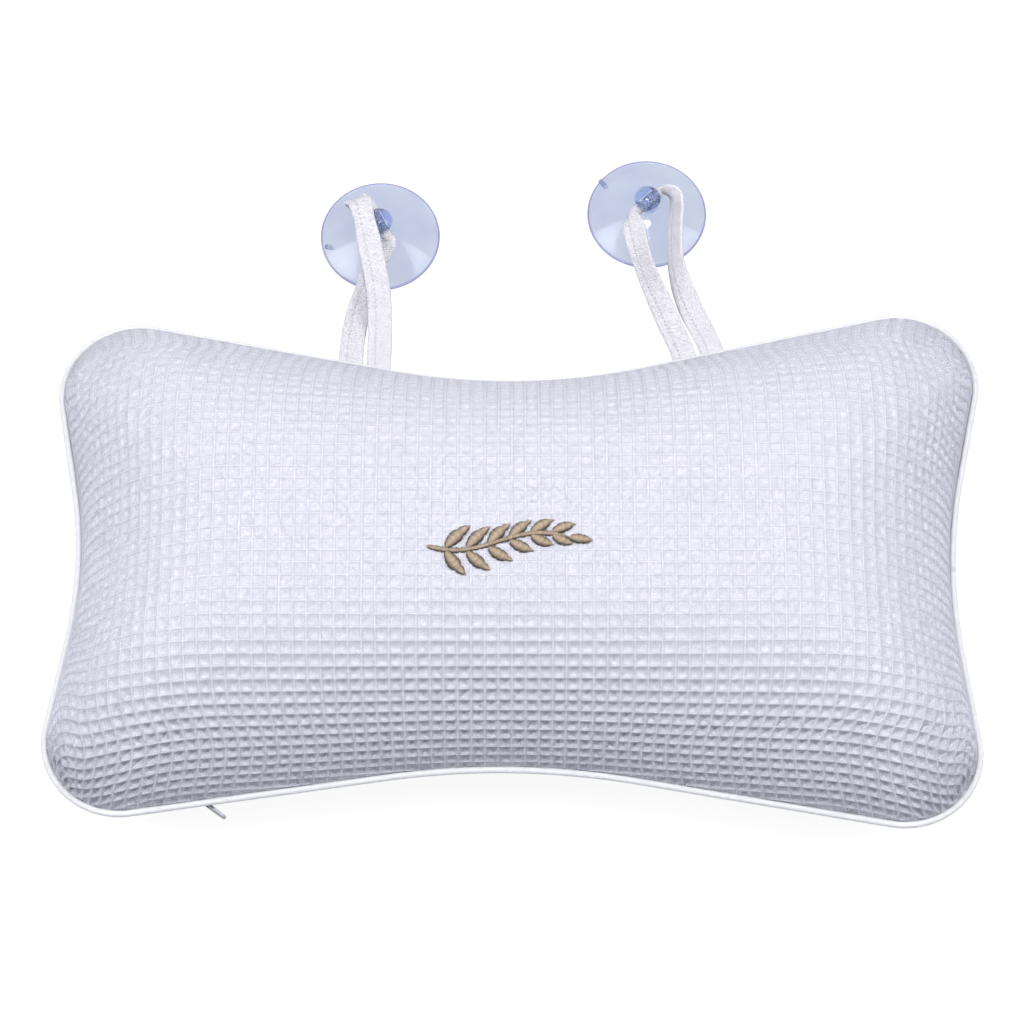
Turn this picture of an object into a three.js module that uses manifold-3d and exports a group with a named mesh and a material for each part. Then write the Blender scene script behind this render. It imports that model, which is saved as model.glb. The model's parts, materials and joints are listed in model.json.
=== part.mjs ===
import * as THREE from "three";
import Module from "manifold-3d";
import { mergeVertices } from "three/addons/utils/BufferGeometryUtils.js";

const wasm = await Module();
wasm.setup();

// Millimetres. The pillow lies on its back, front up along +Z, straps towards +Y.
// Seam outline: four rounded corners joined by hollow sides, each an arc between straight flanks.
const topWidth = 368;
const bottomTaper = 2;
const topShift = 2.8;
const rightHeight = 216.5;
const leftTaper = 9.3;
const cornerRadius = 29;
const topWaist = 27;
const bottomWaist = 20.6;
const sideWaist = 10;
const longFlank = 101;
const sideFlank = 36.5;

// Both faces rise from the seam to a ridge along X: steeply at the ends, softly from the top corners.
const seamHeight = 36;
const frontCrown = 68;
const ridgeLength = 190;
const ridgeShift = -15;
const sideFullness = 3.05;
const endFullness = 2.4;
const sideFirmness = 0.78;
const endFirmness = 0.56;
const topCornerFirmness = 0.8;
const backFullness = 1.15;

// Cover and piping.
const coverThickness = 1.6;
const seamAllowance = 8;
const clearance = 0.3;
const cordRadius = 0.7;
const cordRoom = 0.25;
const sleeveThickness = 0.35;
const sleeveSlit = 0.3;

// Inner pad.
const padInset = 10;
const padRoom = 1.2;
const padThickness = 0.8;

// Zip in the bottom seam, measured along its arc.
const zipLength = 252;
const zipShift = -6;
const zipDrop = 5;
const zipInset = 3.6;
const coilWidth = 1.3;
const coilDepth = 1.4;
const coilGap = 1;
const tapeThickness = 0.6;
const tapeWidth = 9;
const tapeLean = 35;
const stopLength = 2;
const sliderLength = 9;
const sliderWidth = 4.8;
const sliderPlate = 0.8;
const sliderRoom = 0.4;
const webThickness = 0.5;
const bridgeLength = 6;
const bridgeHeight = 2;
const bridgeWidth = 1.4;
const bridgeThickness = 1;
const pullLength = 12;
const pullWidth = 3.8;
const pullThickness = 1;
const pullEye = 3.5;
const pullAngle = 50;

// Straps.
const strapWidth = 10;
const strapThickness = 1.6;
const strapTail = 6;
const strapPitch = 11.4;
const leftStrapX = -60;
const rightStrapX = 76;

// Suction cups.
const cupDiameter = 50;
const cupHollow = 6;
const cupRim = 0.9;
const cupLip = 2.4;
const cupShoulder = 8.6;
const neckDiameter = 9.2;
const neckLength = 5.8;
const headDiameter = 11;
const headHeight = 4.4;
const holeDiameter = 5.2;
const nubDiameter = 2;
const nubLength = 5.6;
const leftCupX = -55.2;
const leftCupY = 164.2;
const rightCupX = 56.6;
const rightCupY = 174.6;
const leftHoleAngle = -62;
const rightHoleAngle = 41;
const leftNubAngle = 198;
const rightNubAngle = 146;

// Facets.
const cornerSteps = 8;
const longSteps = 10;
const shortSteps = 6;
const coverRings = 6;
const padRings = 5;
const zipSteps = 14;
const strapSteps = 42;
const cupSteps = 36;

const radians = THREE.MathUtils.degToRad;
const cotton = { color: "#e6e5ee", roughness: 0.95 };
const satin = { color: "#eeedf4", roughness: 0.45 };
const lining = { color: "#e2e2e4", roughness: 0.9 };
const nylon = { color: "#e9e9ee", roughness: 0.5 };
const clearBlue = { color: "#c6d6e8", roughness: 0.12, transparent: true, opacity: 0.6 };
const metal = { color: "#8b8f98", roughness: 0.4, metalness: 0.7 };
const object = new THREE.Group();

function addPiece(name, geometry, surface) {
  const mesh = new THREE.Mesh(geometry, new THREE.MeshStandardMaterial(surface));
  mesh.name = name;
  object.add(mesh);
}

function solidOf(geometry) {
  const bare = geometry.clone();
  bare.deleteAttribute("normal");
  bare.deleteAttribute("uv");
  const merged = mergeVertices(bare, 1e-3);
  const vertProperties = merged.attributes.position.array;
  const source = merged.index.array;
  const kept = [];
  for (let i = 0; i < source.length; i += 3) {
    const [a, b, c] = [source[i], source[i + 1], source[i + 2]];
    if (a !== b && b !== c && a !== c) kept.push(a, b, c);
  }
  const facing = (order) =>
    new wasm.Manifold(new wasm.Mesh({ numProp: 3, vertProperties, triVerts: new Uint32Array(order) }));
  const solid = facing(kept);
  return solid.volume() < 0 ? facing(kept.reverse()) : solid;
}

function geometryOf(solid) {
  const mesh = solid.getMesh();
  const geometry = new THREE.BufferGeometry();
  geometry.setAttribute("position", new THREE.BufferAttribute(mesh.vertProperties, 3));
  geometry.setIndex(new THREE.BufferAttribute(mesh.triVerts, 1));
  geometry.computeVertexNormals();
  return geometry;
}

// Joins rings of equal length into one closed body, capped at both ends or closed on itself.
function loft(rings, capFaces) {
  const size = rings[0].length;
  const index = [];
  const spans = capFaces ? rings.length - 1 : rings.length;
  for (let r = 0; r < spans; r++) {
    const here = r * size;
    const next = ((r + 1) % rings.length) * size;
    for (let i = 0; i < size; i++) {
      const j = (i + 1) % size;
      index.push(here + i, here + j, next + j, here + i, next + j, next + i);
    }
  }
  const last = (rings.length - 1) * size;
  for (const [a, b, c] of capFaces ?? []) {
    index.push(a, c, b, last + a, last + b, last + c);
  }
  const points = rings.flat();
  let volume = 0;
  for (let i = 0; i < index.length; i += 3) {
    const [a, b, c] = [points[index[i]], points[index[i + 1]], points[index[i + 2]]];
    volume += a.dot(b.clone().cross(c));
  }
  const geometry = new THREE.BufferGeometry().setFromPoints(points);
  geometry.setIndex(volume < 0 ? index.reverse() : index);
  geometry.computeVertexNormals();
  return geometry;
}

const bottomWidth = topWidth - bottomTaper;
const leftHeight = rightHeight - leftTaper;
const halfTop = topWidth / 2 - cornerRadius;
const halfBottom = bottomWidth / 2 - cornerRadius;
const halfLeft = leftHeight / 2 - cornerRadius;
const halfRight = rightHeight / 2 - cornerRadius;
const corners = [
  new THREE.Vector2(topShift + halfTop, halfRight),
  new THREE.Vector2(topShift - halfTop, halfLeft),
  new THREE.Vector2(-halfBottom, -halfLeft),
  new THREE.Vector2(halfBottom, -halfRight),
];

// A side between two corners: an arc bulging inwards and a straight flank at each end of it.
function hollowSide([waist, flank], side) {
  const from = corners[side];
  const to = corners[(side + 1) % 4];
  const along = to.clone().sub(from).normalize();
  const outward = new THREE.Vector2(along.y, -along.x);
  const half = from.distanceTo(to) / 2;
  const rise = cornerRadius - waist;
  const radius = (half ** 2 + rise ** 2 - cornerRadius ** 2 - flank ** 2) / (2 * waist);
  const centre = from.clone().add(to).multiplyScalar(0.5);
  centre.addScaledVector(outward, rise + radius);
  const sweep = Math.atan2(half, rise + radius) - Math.atan2(flank, cornerRadius + radius);
  return { along, outward, radius, centre, sweep, reach: radius * sweep + flank };
}
const sides = [
  [topWaist, longFlank],
  [sideWaist, sideFlank],
  [bottomWaist, longFlank],
  [sideWaist, sideFlank],
].map(hollowSide);

function arcStation({ along, outward, radius, centre }, turn) {
  const normal = outward.clone().multiplyScalar(Math.cos(turn));
  normal.addScaledVector(along, -Math.sin(turn));
  return { point: centre.clone().addScaledVector(normal, -radius), normal };
}

// The station at distance s along a side from its middle.
function sideStation(side, s) {
  const turn = THREE.MathUtils.clamp(s / side.radius, -side.sweep, side.sweep);
  const { point, normal } = arcStation(side, turn);
  const straight = s - turn * side.radius;
  point.x -= normal.y * straight;
  point.y += normal.x * straight;
  return { point, normal };
}

function sideStations(side, start, end, steps) {
  return Array.from({ length: steps }, (_, k) =>
    sideStation(sides[side], sides[side].reach * THREE.MathUtils.lerp(start, end, k / steps)),
  );
}

function cornerStations(corner) {
  const centre = corners[corner];
  const last = sides[(corner + 3) % 4];
  const next = sides[corner];
  const before = arcStation(last, last.sweep).normal.angle();
  const after = arcStation(next, -next.sweep).normal.angle();
  const sweep = THREE.MathUtils.euclideanModulo(after - before, 2 * Math.PI);
  return Array.from({ length: cornerSteps }, (_, k) => {
    const angle = before + (sweep * k) / cornerSteps;
    const normal = new THREE.Vector2(Math.cos(angle), Math.sin(angle));
    return { point: centre.clone().addScaledVector(normal, cornerRadius), normal };
  });
}

// Stations run anticlockwise from the middle of the right side, so i and count - i face each other.
const stations = [
  ...sideStations(3, 0, 1, shortSteps / 2),
  ...cornerStations(0),
  ...sideStations(0, -1, 1, longSteps),
  ...cornerStations(1),
  ...sideStations(1, -1, 1, shortSteps),
  ...cornerStations(2),
  ...sideStations(2, -1, 1, longSteps),
  ...cornerStations(3),
  ...sideStations(3, -1, 0, shortSteps / 2),
];
const count = stations.length;
stations.forEach((station, i) => {
  const x = (station.point.x + stations[(count - i) % count].point.x) / 2;
  const share = THREE.MathUtils.clamp((2 * x) / topWidth, -1, 1);
  const endShare = station.normal.x ** 2;
  const cornerShare = (2 * station.normal.x * Math.max(station.normal.y, 0)) ** 2;
  station.ridge = new THREE.Vector2((ridgeLength / 2) * Math.sin((Math.PI / 2) * share), ridgeShift);
  station.fullness = THREE.MathUtils.lerp(sideFullness, endFullness, endShare);
  const edgeFirmness = THREE.MathUtils.lerp(sideFirmness, endFirmness, endShare);
  station.firmness = THREE.MathUtils.lerp(edgeFirmness, topCornerFirmness, cornerShare);
});

const ringCap = [[0, 1, count - 1]];
for (let i = 1; i < count / 2 - 1; i++) {
  ringCap.push([i, i + 1, count - i], [i + 1, count - i - 1, count - i]);
}
ringCap.push([count / 2 - 1, count / 2, count / 2 + 1]);

function seamPoint({ point, normal }, inset, z) {
  const p = point.clone().addScaledVector(normal, -inset);
  return new THREE.Vector3(p.x, p.y, z);
}

// One ring of a face: turn is the angle up its rounded side, rise the height reached at the ridge,
// inset how far inside the seam it starts on its way to the ridge.
function faceRing(inset, turn, z, rise, floor) {
  const share = 1 - Math.cos(turn);
  return stations.map((station) => {
    const lift = (1 - (1 - share) ** station.fullness) ** station.firmness;
    const start = inset / station.normal.dot(station.point.clone().sub(station.ridge));
    const p = station.point.clone().lerp(station.ridge, start + (1 - start) * share);
    return new THREE.Vector3(p.x, p.y, Math.max(floor, z + rise * lift));
  });
}

function face(inset, z, rise, rings, lastTurn, floor = 0) {
  return Array.from({ length: rings + 1 }, (_, k) =>
    faceRing(inset, (lastTurn * k) / rings, z, rise, floor),
  );
}

// The back's last ring lies where the slowest of its sides has come down to the floor.
const crownTurn = radians(80);
const floorShares = stations.map((s) => (1 - backFullness ** (-1 / s.firmness)) ** (1 / s.fullness));
const backTurn = Math.acos(Math.min(...floorShares)) + radians(1);
const flangeHalf = sleeveThickness + sleeveSlit / 2;
const frontRim = seamHeight + flangeHalf + clearance;
const backRim = seamHeight - flangeHalf - clearance;
const frontTop = seamHeight + frontCrown;

// A cover panel with its seam allowance turned in; side is 1 for the front and -1 for the back.
function coverPanel(side, rim, rise, lastTurn) {
  const inner = rim + side * coverThickness;
  const innerRise = rise - 2 * side * coverThickness;
  const outside = face(0, rim, rise, coverRings, lastTurn);
  const inside = face(coverThickness, inner, innerRise, coverRings - 1, lastTurn, coverThickness);
  const turnedIn = [rim, inner].map((z) => stations.map((s) => seamPoint(s, seamAllowance, z)));
  return loft([...outside.reverse(), ...turnedIn, ...inside], ringCap);
}

addPiece("front_panel", coverPanel(1, frontRim, frontTop - frontRim, crownTurn), cotton);

// Zip places: s runs along one arc that meets the bottom seam in its middle and at the zip's far end,
// z is measured down from the seam.
const zipStart = zipShift - zipLength / 2;
const zipEnd = zipShift + zipLength / 2;
const seamMiddle = sideStation(sides[2], 0).point;
const zipChord = sideStation(sides[2], Math.max(-zipStart, zipEnd)).point.sub(seamMiddle);
const zipRadius = zipChord.lengthSq() / (2 * zipChord.dot(sides[2].outward));
const zipArc = {
  along: sides[2].along,
  outward: sides[2].outward,
  radius: zipRadius,
  centre: seamMiddle.clone().addScaledVector(sides[2].outward, zipRadius),
};

function zipPoint(inset, z, s) {
  return seamPoint(arcStation(zipArc, s / zipArc.radius), inset, seamHeight + z);
}

function zipSweep(profile, from, to, steps) {
  const caps = THREE.ShapeUtils.triangulateShape(
    profile.map(([inset, z]) => new THREE.Vector2(inset, z)),
    [],
  );
  const sections = Array.from({ length: steps + 1 }, (_, k) =>
    profile.map(([inset, z]) => zipPoint(inset, z, THREE.MathUtils.lerp(from, to, k / steps))),
  );
  return loft(sections, caps);
}

function zipBar(inset0, inset1, z0, z1, from, to, steps = 1) {
  const profile = [
    [inset0, z0],
    [inset1, z0],
    [inset1, z1],
    [inset0, z1],
  ];
  return zipSweep(profile, from, to, steps);
}

const coilNear = coilGap / 2;
const coilFar = coilNear + coilWidth;
const coilOuter = zipInset - coilDepth / 2;
const coilInner = zipInset + coilDepth / 2;
const slotBottom = -(zipDrop + coilFar + 4 * clearance);
const strapDrop = flangeHalf + cordRadius + cordRoom + clearance + strapThickness / 2;

function topEdge(x) {
  let s = 0;
  for (let k = 0; k < 8; k++) {
    s += sideStation(sides[0], s).point.x - x;
  }
  return sideStation(sides[0], s).point.y;
}

// The back panel is open along the zip and notched where the strap ends run in.
let back = solidOf(coverPanel(-1, backRim, -backRim * backFullness, backTurn));
const slot = zipBar(
  -2 * zipInset,
  seamAllowance + 2.5,
  slotBottom,
  -flangeHalf - 0.1,
  zipStart - 0.5,
  zipEnd + 0.5,
  zipSteps,
);
back = back.subtract(solidOf(slot));
for (const x of [leftStrapX, rightStrapX]) {
  const width = strapPitch + strapWidth + 3 * clearance;
  const depth = strapDrop + strapThickness / 2 + clearance;
  const notch = new THREE.BoxGeometry(width, 2 * (seamAllowance + 2), 2 * depth);
  notch.translate(x, topEdge(x), seamHeight);
  back = back.subtract(solidOf(notch));
}
addPiece("back_panel", geometryOf(back), cotton);

// Piping: a strip folded round a cord, its two edges lying together between the panels.
const hollowRadius = cordRadius + cordRoom;
const sleeveRadius = hollowRadius + sleeveThickness;

function fold(radius, half, steps, direction) {
  const reach = Math.PI - Math.asin(half / radius);
  return Array.from({ length: steps + 1 }, (_, k) => {
    const angle = direction * reach * (1 - (2 * k) / steps);
    return [-sleeveRadius - radius * Math.cos(angle), radius * Math.sin(angle)];
  });
}

function aroundSeam(profile) {
  return loft(stations.map((s) => profile.map(([inset, z]) => seamPoint(s, inset, seamHeight + z))));
}

const flangeEnd = seamAllowance - 1;
const sleeveProfile = [
  [flangeEnd, flangeHalf],
  ...fold(sleeveRadius, flangeHalf, 6, 1),
  [flangeEnd, -flangeHalf],
  [flangeEnd, -sleeveSlit / 2],
  ...fold(hollowRadius, sleeveSlit / 2, 6, -1),
  [flangeEnd, sleeveSlit / 2],
];
const cordProfile = Array.from({ length: 6 }, (_, k) => {
  const angle = (k * Math.PI) / 3;
  return [-sleeveRadius - cordRadius * Math.cos(angle), cordRadius * Math.sin(angle)];
});
addPiece("piping_sleeve", aroundSeam(sleeveProfile), satin);
addPiece("piping_cord", aroundSeam(cordProfile), lining);

// Inner pad: a two-panel case round its filling.
const padTop = frontTop - coverThickness - padRoom;
const padFloor = coverThickness + padRoom / 2;

function padCase(rim, rise, lastTurn, floor, floorStep) {
  const outside = face(padInset, rim, rise, padRings, lastTurn, floor);
  const trimmed = rise - Math.sign(rise) * padThickness;
  const inside = face(padInset + padThickness, rim, trimmed, padRings, lastTurn, floor + floorStep);
  return loft([...outside.reverse(), ...inside], ringCap);
}

const caseFront = seamHeight + clearance / 2;
const caseBack = seamHeight - clearance / 2;
const caseFall = (caseBack - padFloor) * backFullness;
addPiece("inner_case_front", padCase(caseFront, padTop - caseFront, crownTurn, 0, 0), lining);
addPiece("inner_case_back", padCase(caseBack, -caseFall, backTurn, padFloor, padThickness), lining);

const fillInset = padInset + 4 * padThickness;
const fillFloor = padFloor + 2 * padThickness;
const fillTop = padTop - 2 * padThickness;
const fillFront = face(fillInset, seamHeight, fillTop - seamHeight, padRings, crownTurn);
const fillFall = (seamHeight - fillFloor) * backFullness;
const fillBack = face(fillInset, seamHeight, -fillFall, padRings, backTurn, fillFloor);
addPiece("filling", loft([...fillFront.reverse(), ...fillBack.slice(1)], ringCap), lining);

// Zip tapes and coils: the front tape is sewn under the piping, the back tape behind the back panel.
const tapeOuter = zipInset - tapeThickness / 2;
const tapeInner = zipInset + tapeThickness / 2;
const tapeTop = -flangeHalf - clearance;
const frontTapeEnd = -zipDrop + coilFar + clearance;
const backTapeStart = -zipDrop - coilFar - clearance;
const leanInset = tapeWidth * Math.sin(radians(tapeLean));
const leanDrop = tapeWidth * Math.cos(radians(tapeLean));
const frontTape = [
  [tapeOuter, frontTapeEnd],
  [tapeInner, frontTapeEnd],
  [tapeInner, tapeTop - tapeThickness],
  [flangeEnd, tapeTop - tapeThickness],
  [flangeEnd, tapeTop],
  [tapeOuter, tapeTop],
];
const backTape = [
  [tapeOuter, backTapeStart],
  [tapeOuter + leanInset, backTapeStart - leanDrop],
  [tapeInner + leanInset, backTapeStart - leanDrop],
  [tapeInner, backTapeStart],
];
addPiece("zip_tape_front", zipSweep(frontTape, zipStart, zipEnd, zipSteps), cotton);
addPiece("zip_tape_back", zipSweep(backTape, zipStart, zipEnd, zipSteps), cotton);

const coilStart = zipStart + stopLength + 1 + clearance;
const coilEnd = zipEnd - stopLength - 1 - clearance;
for (const [name, low, high] of [
  ["zip_coil_front", coilNear, coilFar],
  ["zip_coil_back", -coilFar, -coilNear],
]) {
  const bar = zipBar(coilOuter, coilInner, low - zipDrop, high - zipDrop, coilStart, coilEnd, zipSteps);
  addPiece(name, bar, nylon);
}
for (const [name, from] of [
  ["zip_top_stop", zipStart + 1],
  ["zip_bottom_stop", zipEnd - 1 - stopLength],
]) {
  const bar = zipBar(coilOuter, coilInner, -zipDrop - coilFar, -zipDrop + coilFar, from, from + stopLength);
  addPiece(name, bar, metal);
}

// Slider: a plate each side of the coils, a web between them and a bridge that the pull hangs on.
const sliderPlace = coilStart + clearance + sliderLength / 2;
const plateInner = coilOuter - sliderRoom;
const plateOuter = plateInner - sliderPlate;
const bridgeFoot = plateOuter + 0.2;
const bridgeUnder = plateOuter - bridgeHeight;
const bridgeTop = bridgeUnder - sliderPlate;
const backPlate = coilInner + sliderRoom;

function sliderBar(inset0, inset1, width, from, to) {
  const bar = zipBar(inset0, inset1, -zipDrop - width / 2, -zipDrop + width / 2, sliderPlace + from, sliderPlace + to);
  return solidOf(bar);
}

const halfSlider = sliderLength / 2;
const halfBridge = bridgeLength / 2;
const slider = sliderBar(plateOuter, plateInner, sliderWidth, -halfSlider, halfSlider)
  .add(sliderBar(backPlate, backPlate + sliderPlate, sliderWidth - 1, -halfSlider, halfSlider))
  .add(sliderBar(plateInner - 0.2, backPlate + 0.2, webThickness, -halfSlider, 0))
  .add(sliderBar(bridgeTop, bridgeFoot, bridgeWidth, -halfBridge, bridgeThickness - halfBridge))
  .add(sliderBar(bridgeTop, bridgeFoot, bridgeWidth, halfBridge - bridgeThickness, halfBridge))
  .add(sliderBar(bridgeTop, bridgeUnder, bridgeWidth, -halfBridge, halfBridge));
addPiece("zip_slider", geometryOf(slider), metal);

// Pull: a tongue with an eye whose end bar lies under the bridge.
const barHalf = pullThickness / 2;
const pullPlace = sliderPlace + halfBridge - bridgeThickness - pullThickness + 0.2;
const pullInset = plateOuter - bridgeHeight / 2;
const tongue = new THREE.Shape();
tongue.moveTo(-barHalf, -pullWidth / 2);
tongue.lineTo(pullLength - pullWidth / 2, -pullWidth / 2);
tongue.absarc(pullLength - pullWidth / 2, 0, pullWidth / 2, -Math.PI / 2, Math.PI / 2);
tongue.lineTo(-barHalf, pullWidth / 2);
tongue.closePath();
const eyeHalf = bridgeWidth / 2 + sliderRoom;
const eye = new THREE.Path();
eye.moveTo(barHalf, -eyeHalf);
eye.lineTo(barHalf, eyeHalf);
eye.lineTo(barHalf + pullEye, eyeHalf);
eye.lineTo(barHalf + pullEye, -eyeHalf);
eye.closePath();
tongue.holes.push(eye);
const pull = new THREE.ExtrudeGeometry(tongue, { depth: pullThickness, bevelEnabled: false, curveSegments: 6 });
pull.translate(0, 0, -barHalf);
const pullStation = arcStation(zipArc, pullPlace / zipArc.radius);
const pullTurn = pullStation.normal.angle() + radians(90 - pullAngle);
const pullAxis = new THREE.Vector3(Math.cos(pullTurn), Math.sin(pullTurn), 0);
const upward = new THREE.Vector3(0, 0, 1);
const pullPose = new THREE.Matrix4().makeBasis(pullAxis, upward, pullAxis.clone().cross(upward));
pullPose.setPosition(zipPoint(pullInset, -zipDrop, pullPlace));
addPiece("zip_pull", geometryOf(solidOf(pull.applyMatrix4(pullPose))), metal);

// Suction cup: one moulding, resting on its lip, with a hole across the neck and a pull nub.
const cupRadius = cupDiameter / 2;
const neckRadius = neckDiameter / 2;
const headRadius = headDiameter / 2;
const lipInner = cupRadius - cupLip;
const headBase = cupShoulder + neckLength;
const holeHeight = cupShoulder + neckLength / 2;

function discTop(r) {
  const share = (r - neckRadius) / (cupRadius - neckRadius);
  return cupRim + (cupShoulder - cupRim) * (1 - share ** 1.3);
}

const cupProfile = [];
for (let k = 0; k <= 5; k++) {
  cupProfile.push(new THREE.Vector2((lipInner * k) / 5, cupHollow * (1 - (k / 5) ** 2)));
}
cupProfile.push(new THREE.Vector2(cupRadius, 0));
for (let k = 5; k >= 0; k--) {
  const r = THREE.MathUtils.lerp(neckRadius, cupRadius, k / 5);
  cupProfile.push(new THREE.Vector2(r, discTop(r)));
}
cupProfile.push(new THREE.Vector2(neckRadius, headBase));
for (let k = 0; k <= 4; k++) {
  const turn = (k * Math.PI) / 8;
  const z = headBase + headHeight * (0.2 + 0.8 * Math.sin(turn));
  cupProfile.push(new THREE.Vector2(headRadius * Math.cos(turn), z));
}

function suctionCup(x, y, holeAngle, nubAngle) {
  const lathe = new THREE.LatheGeometry(cupProfile, cupSteps);
  lathe.rotateX(Math.PI / 2);
  const hole = new THREE.CylinderGeometry(holeDiameter / 2, holeDiameter / 2, neckDiameter * 1.5, 20);
  hole.rotateZ(-Math.PI / 2);
  hole.rotateZ(radians(holeAngle));
  hole.translate(0, 0, holeHeight);
  const nubPlace = cupRadius - 2 * cupLip;
  const nub = new THREE.CylinderGeometry(nubDiameter / 2, nubDiameter / 2, nubLength, 10);
  nub.rotateZ(radians(-50));
  nub.rotateX(Math.PI / 2);
  nub.translate(nubPlace + 0.3 * nubLength, 0, discTop(nubPlace) + 0.15 * nubLength);
  nub.rotateZ(radians(nubAngle));
  const moulding = solidOf(lathe).add(solidOf(nub)).subtract(solidOf(hole));
  return geometryOf(moulding.translate([x, y, 0]));
}
addPiece("left_suction_cup", suctionCup(leftCupX, leftCupY, leftHoleAngle, leftNubAngle), clearBlue);
addPiece("right_suction_cup", suctionCup(rightCupX, rightCupY, rightHoleAngle, rightNubAngle), clearBlue);

// Strap: flat tape, gathered round where it runs through the neck.
const gatherRadius = holeDiameter / 2 - 1.3 * clearance;

function strapSection(p, tangent, across, gather) {
  const side = across.clone().addScaledVector(tangent, -across.dot(tangent)).normalize();
  const face = tangent.clone().cross(side);
  const half = strapThickness / 2;
  return Array.from({ length: 8 }, (_, k) => {
    const angle = ((k + 0.5) * Math.PI) / 4;
    const [c, s] = [Math.cos(angle), Math.sin(angle)];
    const edge = Math.abs(c) > Math.abs(s);
    const flatX = Math.sign(c) * (strapWidth / 2 - (edge ? 0 : half));
    const flatY = Math.sign(s) * half * (edge ? 0.4 : 1);
    const x = THREE.MathUtils.lerp(flatX, gatherRadius * c, gather);
    const y = THREE.MathUtils.lerp(flatY, gatherRadius * s, gather);
    return p.clone().addScaledVector(side, x).addScaledVector(face, y);
  });
}

function strap(route, cupX, cupY) {
  const path = new THREE.CatmullRomCurve3(route.map(([x, y, z]) => new THREE.Vector3(x, y, z)));
  const widths = new THREE.CatmullRomCurve3(route.map((r) => new THREE.Vector3(r[3], r[4], r[5])));
  const middle = new THREE.Vector3(cupX, cupY, holeHeight);
  const sections = Array.from({ length: strapSteps + 1 }, (_, k) => {
    const share = k / strapSteps;
    const p = path.getPoint(share);
    const gather = 1 - THREE.MathUtils.smoothstep(p.distanceTo(middle), 5.5, 14);
    return strapSection(p, path.getTangent(share), widths.getPoint(share), gather);
  });
  return loft(sections, Array.from({ length: 6 }, (_, k) => [0, k + 1, k + 2]));
}

// Each route runs from one sewn end through the cup to the other: place, then direction of the width.
const strapHeight = seamHeight - strapDrop;
function sewnEnd(x) {
  const edge = topEdge(x);
  return [
    [x, edge - strapTail, strapHeight, 1, 0, 0],
    [x, edge + 3, strapHeight, 1, 0, 0],
  ];
}
function throughHole(cupX, cupY, holeAngle, reach) {
  const along = new THREE.Vector2(1, 0).rotateAround(new THREE.Vector2(), radians(holeAngle));
  return [cupX + along.x * reach, cupY + along.y * reach];
}
const left = (reach) => throughHole(leftCupX, leftCupY, leftHoleAngle, reach);
const right = (reach) => throughHole(rightCupX, rightCupY, rightHoleAngle, reach);
const overHead = headBase + headHeight + clearance + strapThickness / 2 + 0.4;
const leftRoute = [
  ...sewnEnd(leftStrapX + strapPitch / 2),
  [leftCupX + 1.1, leftCupY - 56, 27, 1, 0.05, 0],
  [leftCupX - 0.1, leftCupY - 34, 21.5, 1, 0.1, 0],
  [leftCupX - 3.9, leftCupY - 13, overHead, 0.97, 0.2, 0],
  [leftCupX - 8.1, leftCupY + 6, overHead, 0.94, 0.33, 0],
  [leftCupX - 10, leftCupY + 9.3, 15.4, 0.94, 0.33, 0],
  [...left(-8.4), 11.9, 0.7, 0.7, 0.2],
  [...left(-4), holeHeight, 0.5, 0.7, 0.5],
  [...left(4), holeHeight, 0.5, 0.7, 0.5],
  [...left(8.4), 11.2, 0.7, 0.7, 0.3],
  [leftCupX - 1, leftCupY - 15, 9.8, 0.9, 0.1, 0.1],
  [leftCupX - 4.6, leftCupY - 28, 11, 1, -0.1, 0],
  [leftCupX - 7.6, leftCupY - 40, 15.6, 1, -0.1, 0],
  [leftCupX - 9.8, leftCupY - 58, 26, 1, 0, 0],
  ...sewnEnd(leftStrapX - strapPitch / 2).reverse(),
];
const rightRoute = [
  ...sewnEnd(rightStrapX - strapPitch / 2),
  [rightCupX + 7.1, rightCupY - 59, 24, 0.95, 0.2, 0.2],
  [rightCupX - 1.4, rightCupY - 32, 15.5, 0.7, 0.2, 0.7],
  [rightCupX - 5.9, rightCupY - 13, 14, 0.92, -0.1, 0.4],
  [...right(-8), 12, 0.2, -0.5, 0.8],
  [...right(-4), holeHeight, 0, 0, 1],
  [...right(4), holeHeight, 0, 0, 1],
  [...right(8.5), 12.2, 0.2, -0.2, 0.95],
  [rightCupX + 11.6, rightCupY + 2, 13.6, 0.5, 0, 0.87],
  [rightCupX + 11.4, rightCupY - 15, 13.4, 0.55, 0, 0.83],
  [rightCupX + 11.6, rightCupY - 31, 15.4, 0.6, 0, 0.8],
  [rightCupX + 16, rightCupY - 51.5, 22, 0.9, 0.1, 0.35],
  ...sewnEnd(rightStrapX + strapPitch / 2).reverse(),
];
addPiece("left_strap", strap(leftRoute, leftCupX, leftCupY), cotton);
addPiece("right_strap", strap(rightRoute, rightCupX, rightCupY), cotton);

export default object;
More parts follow.
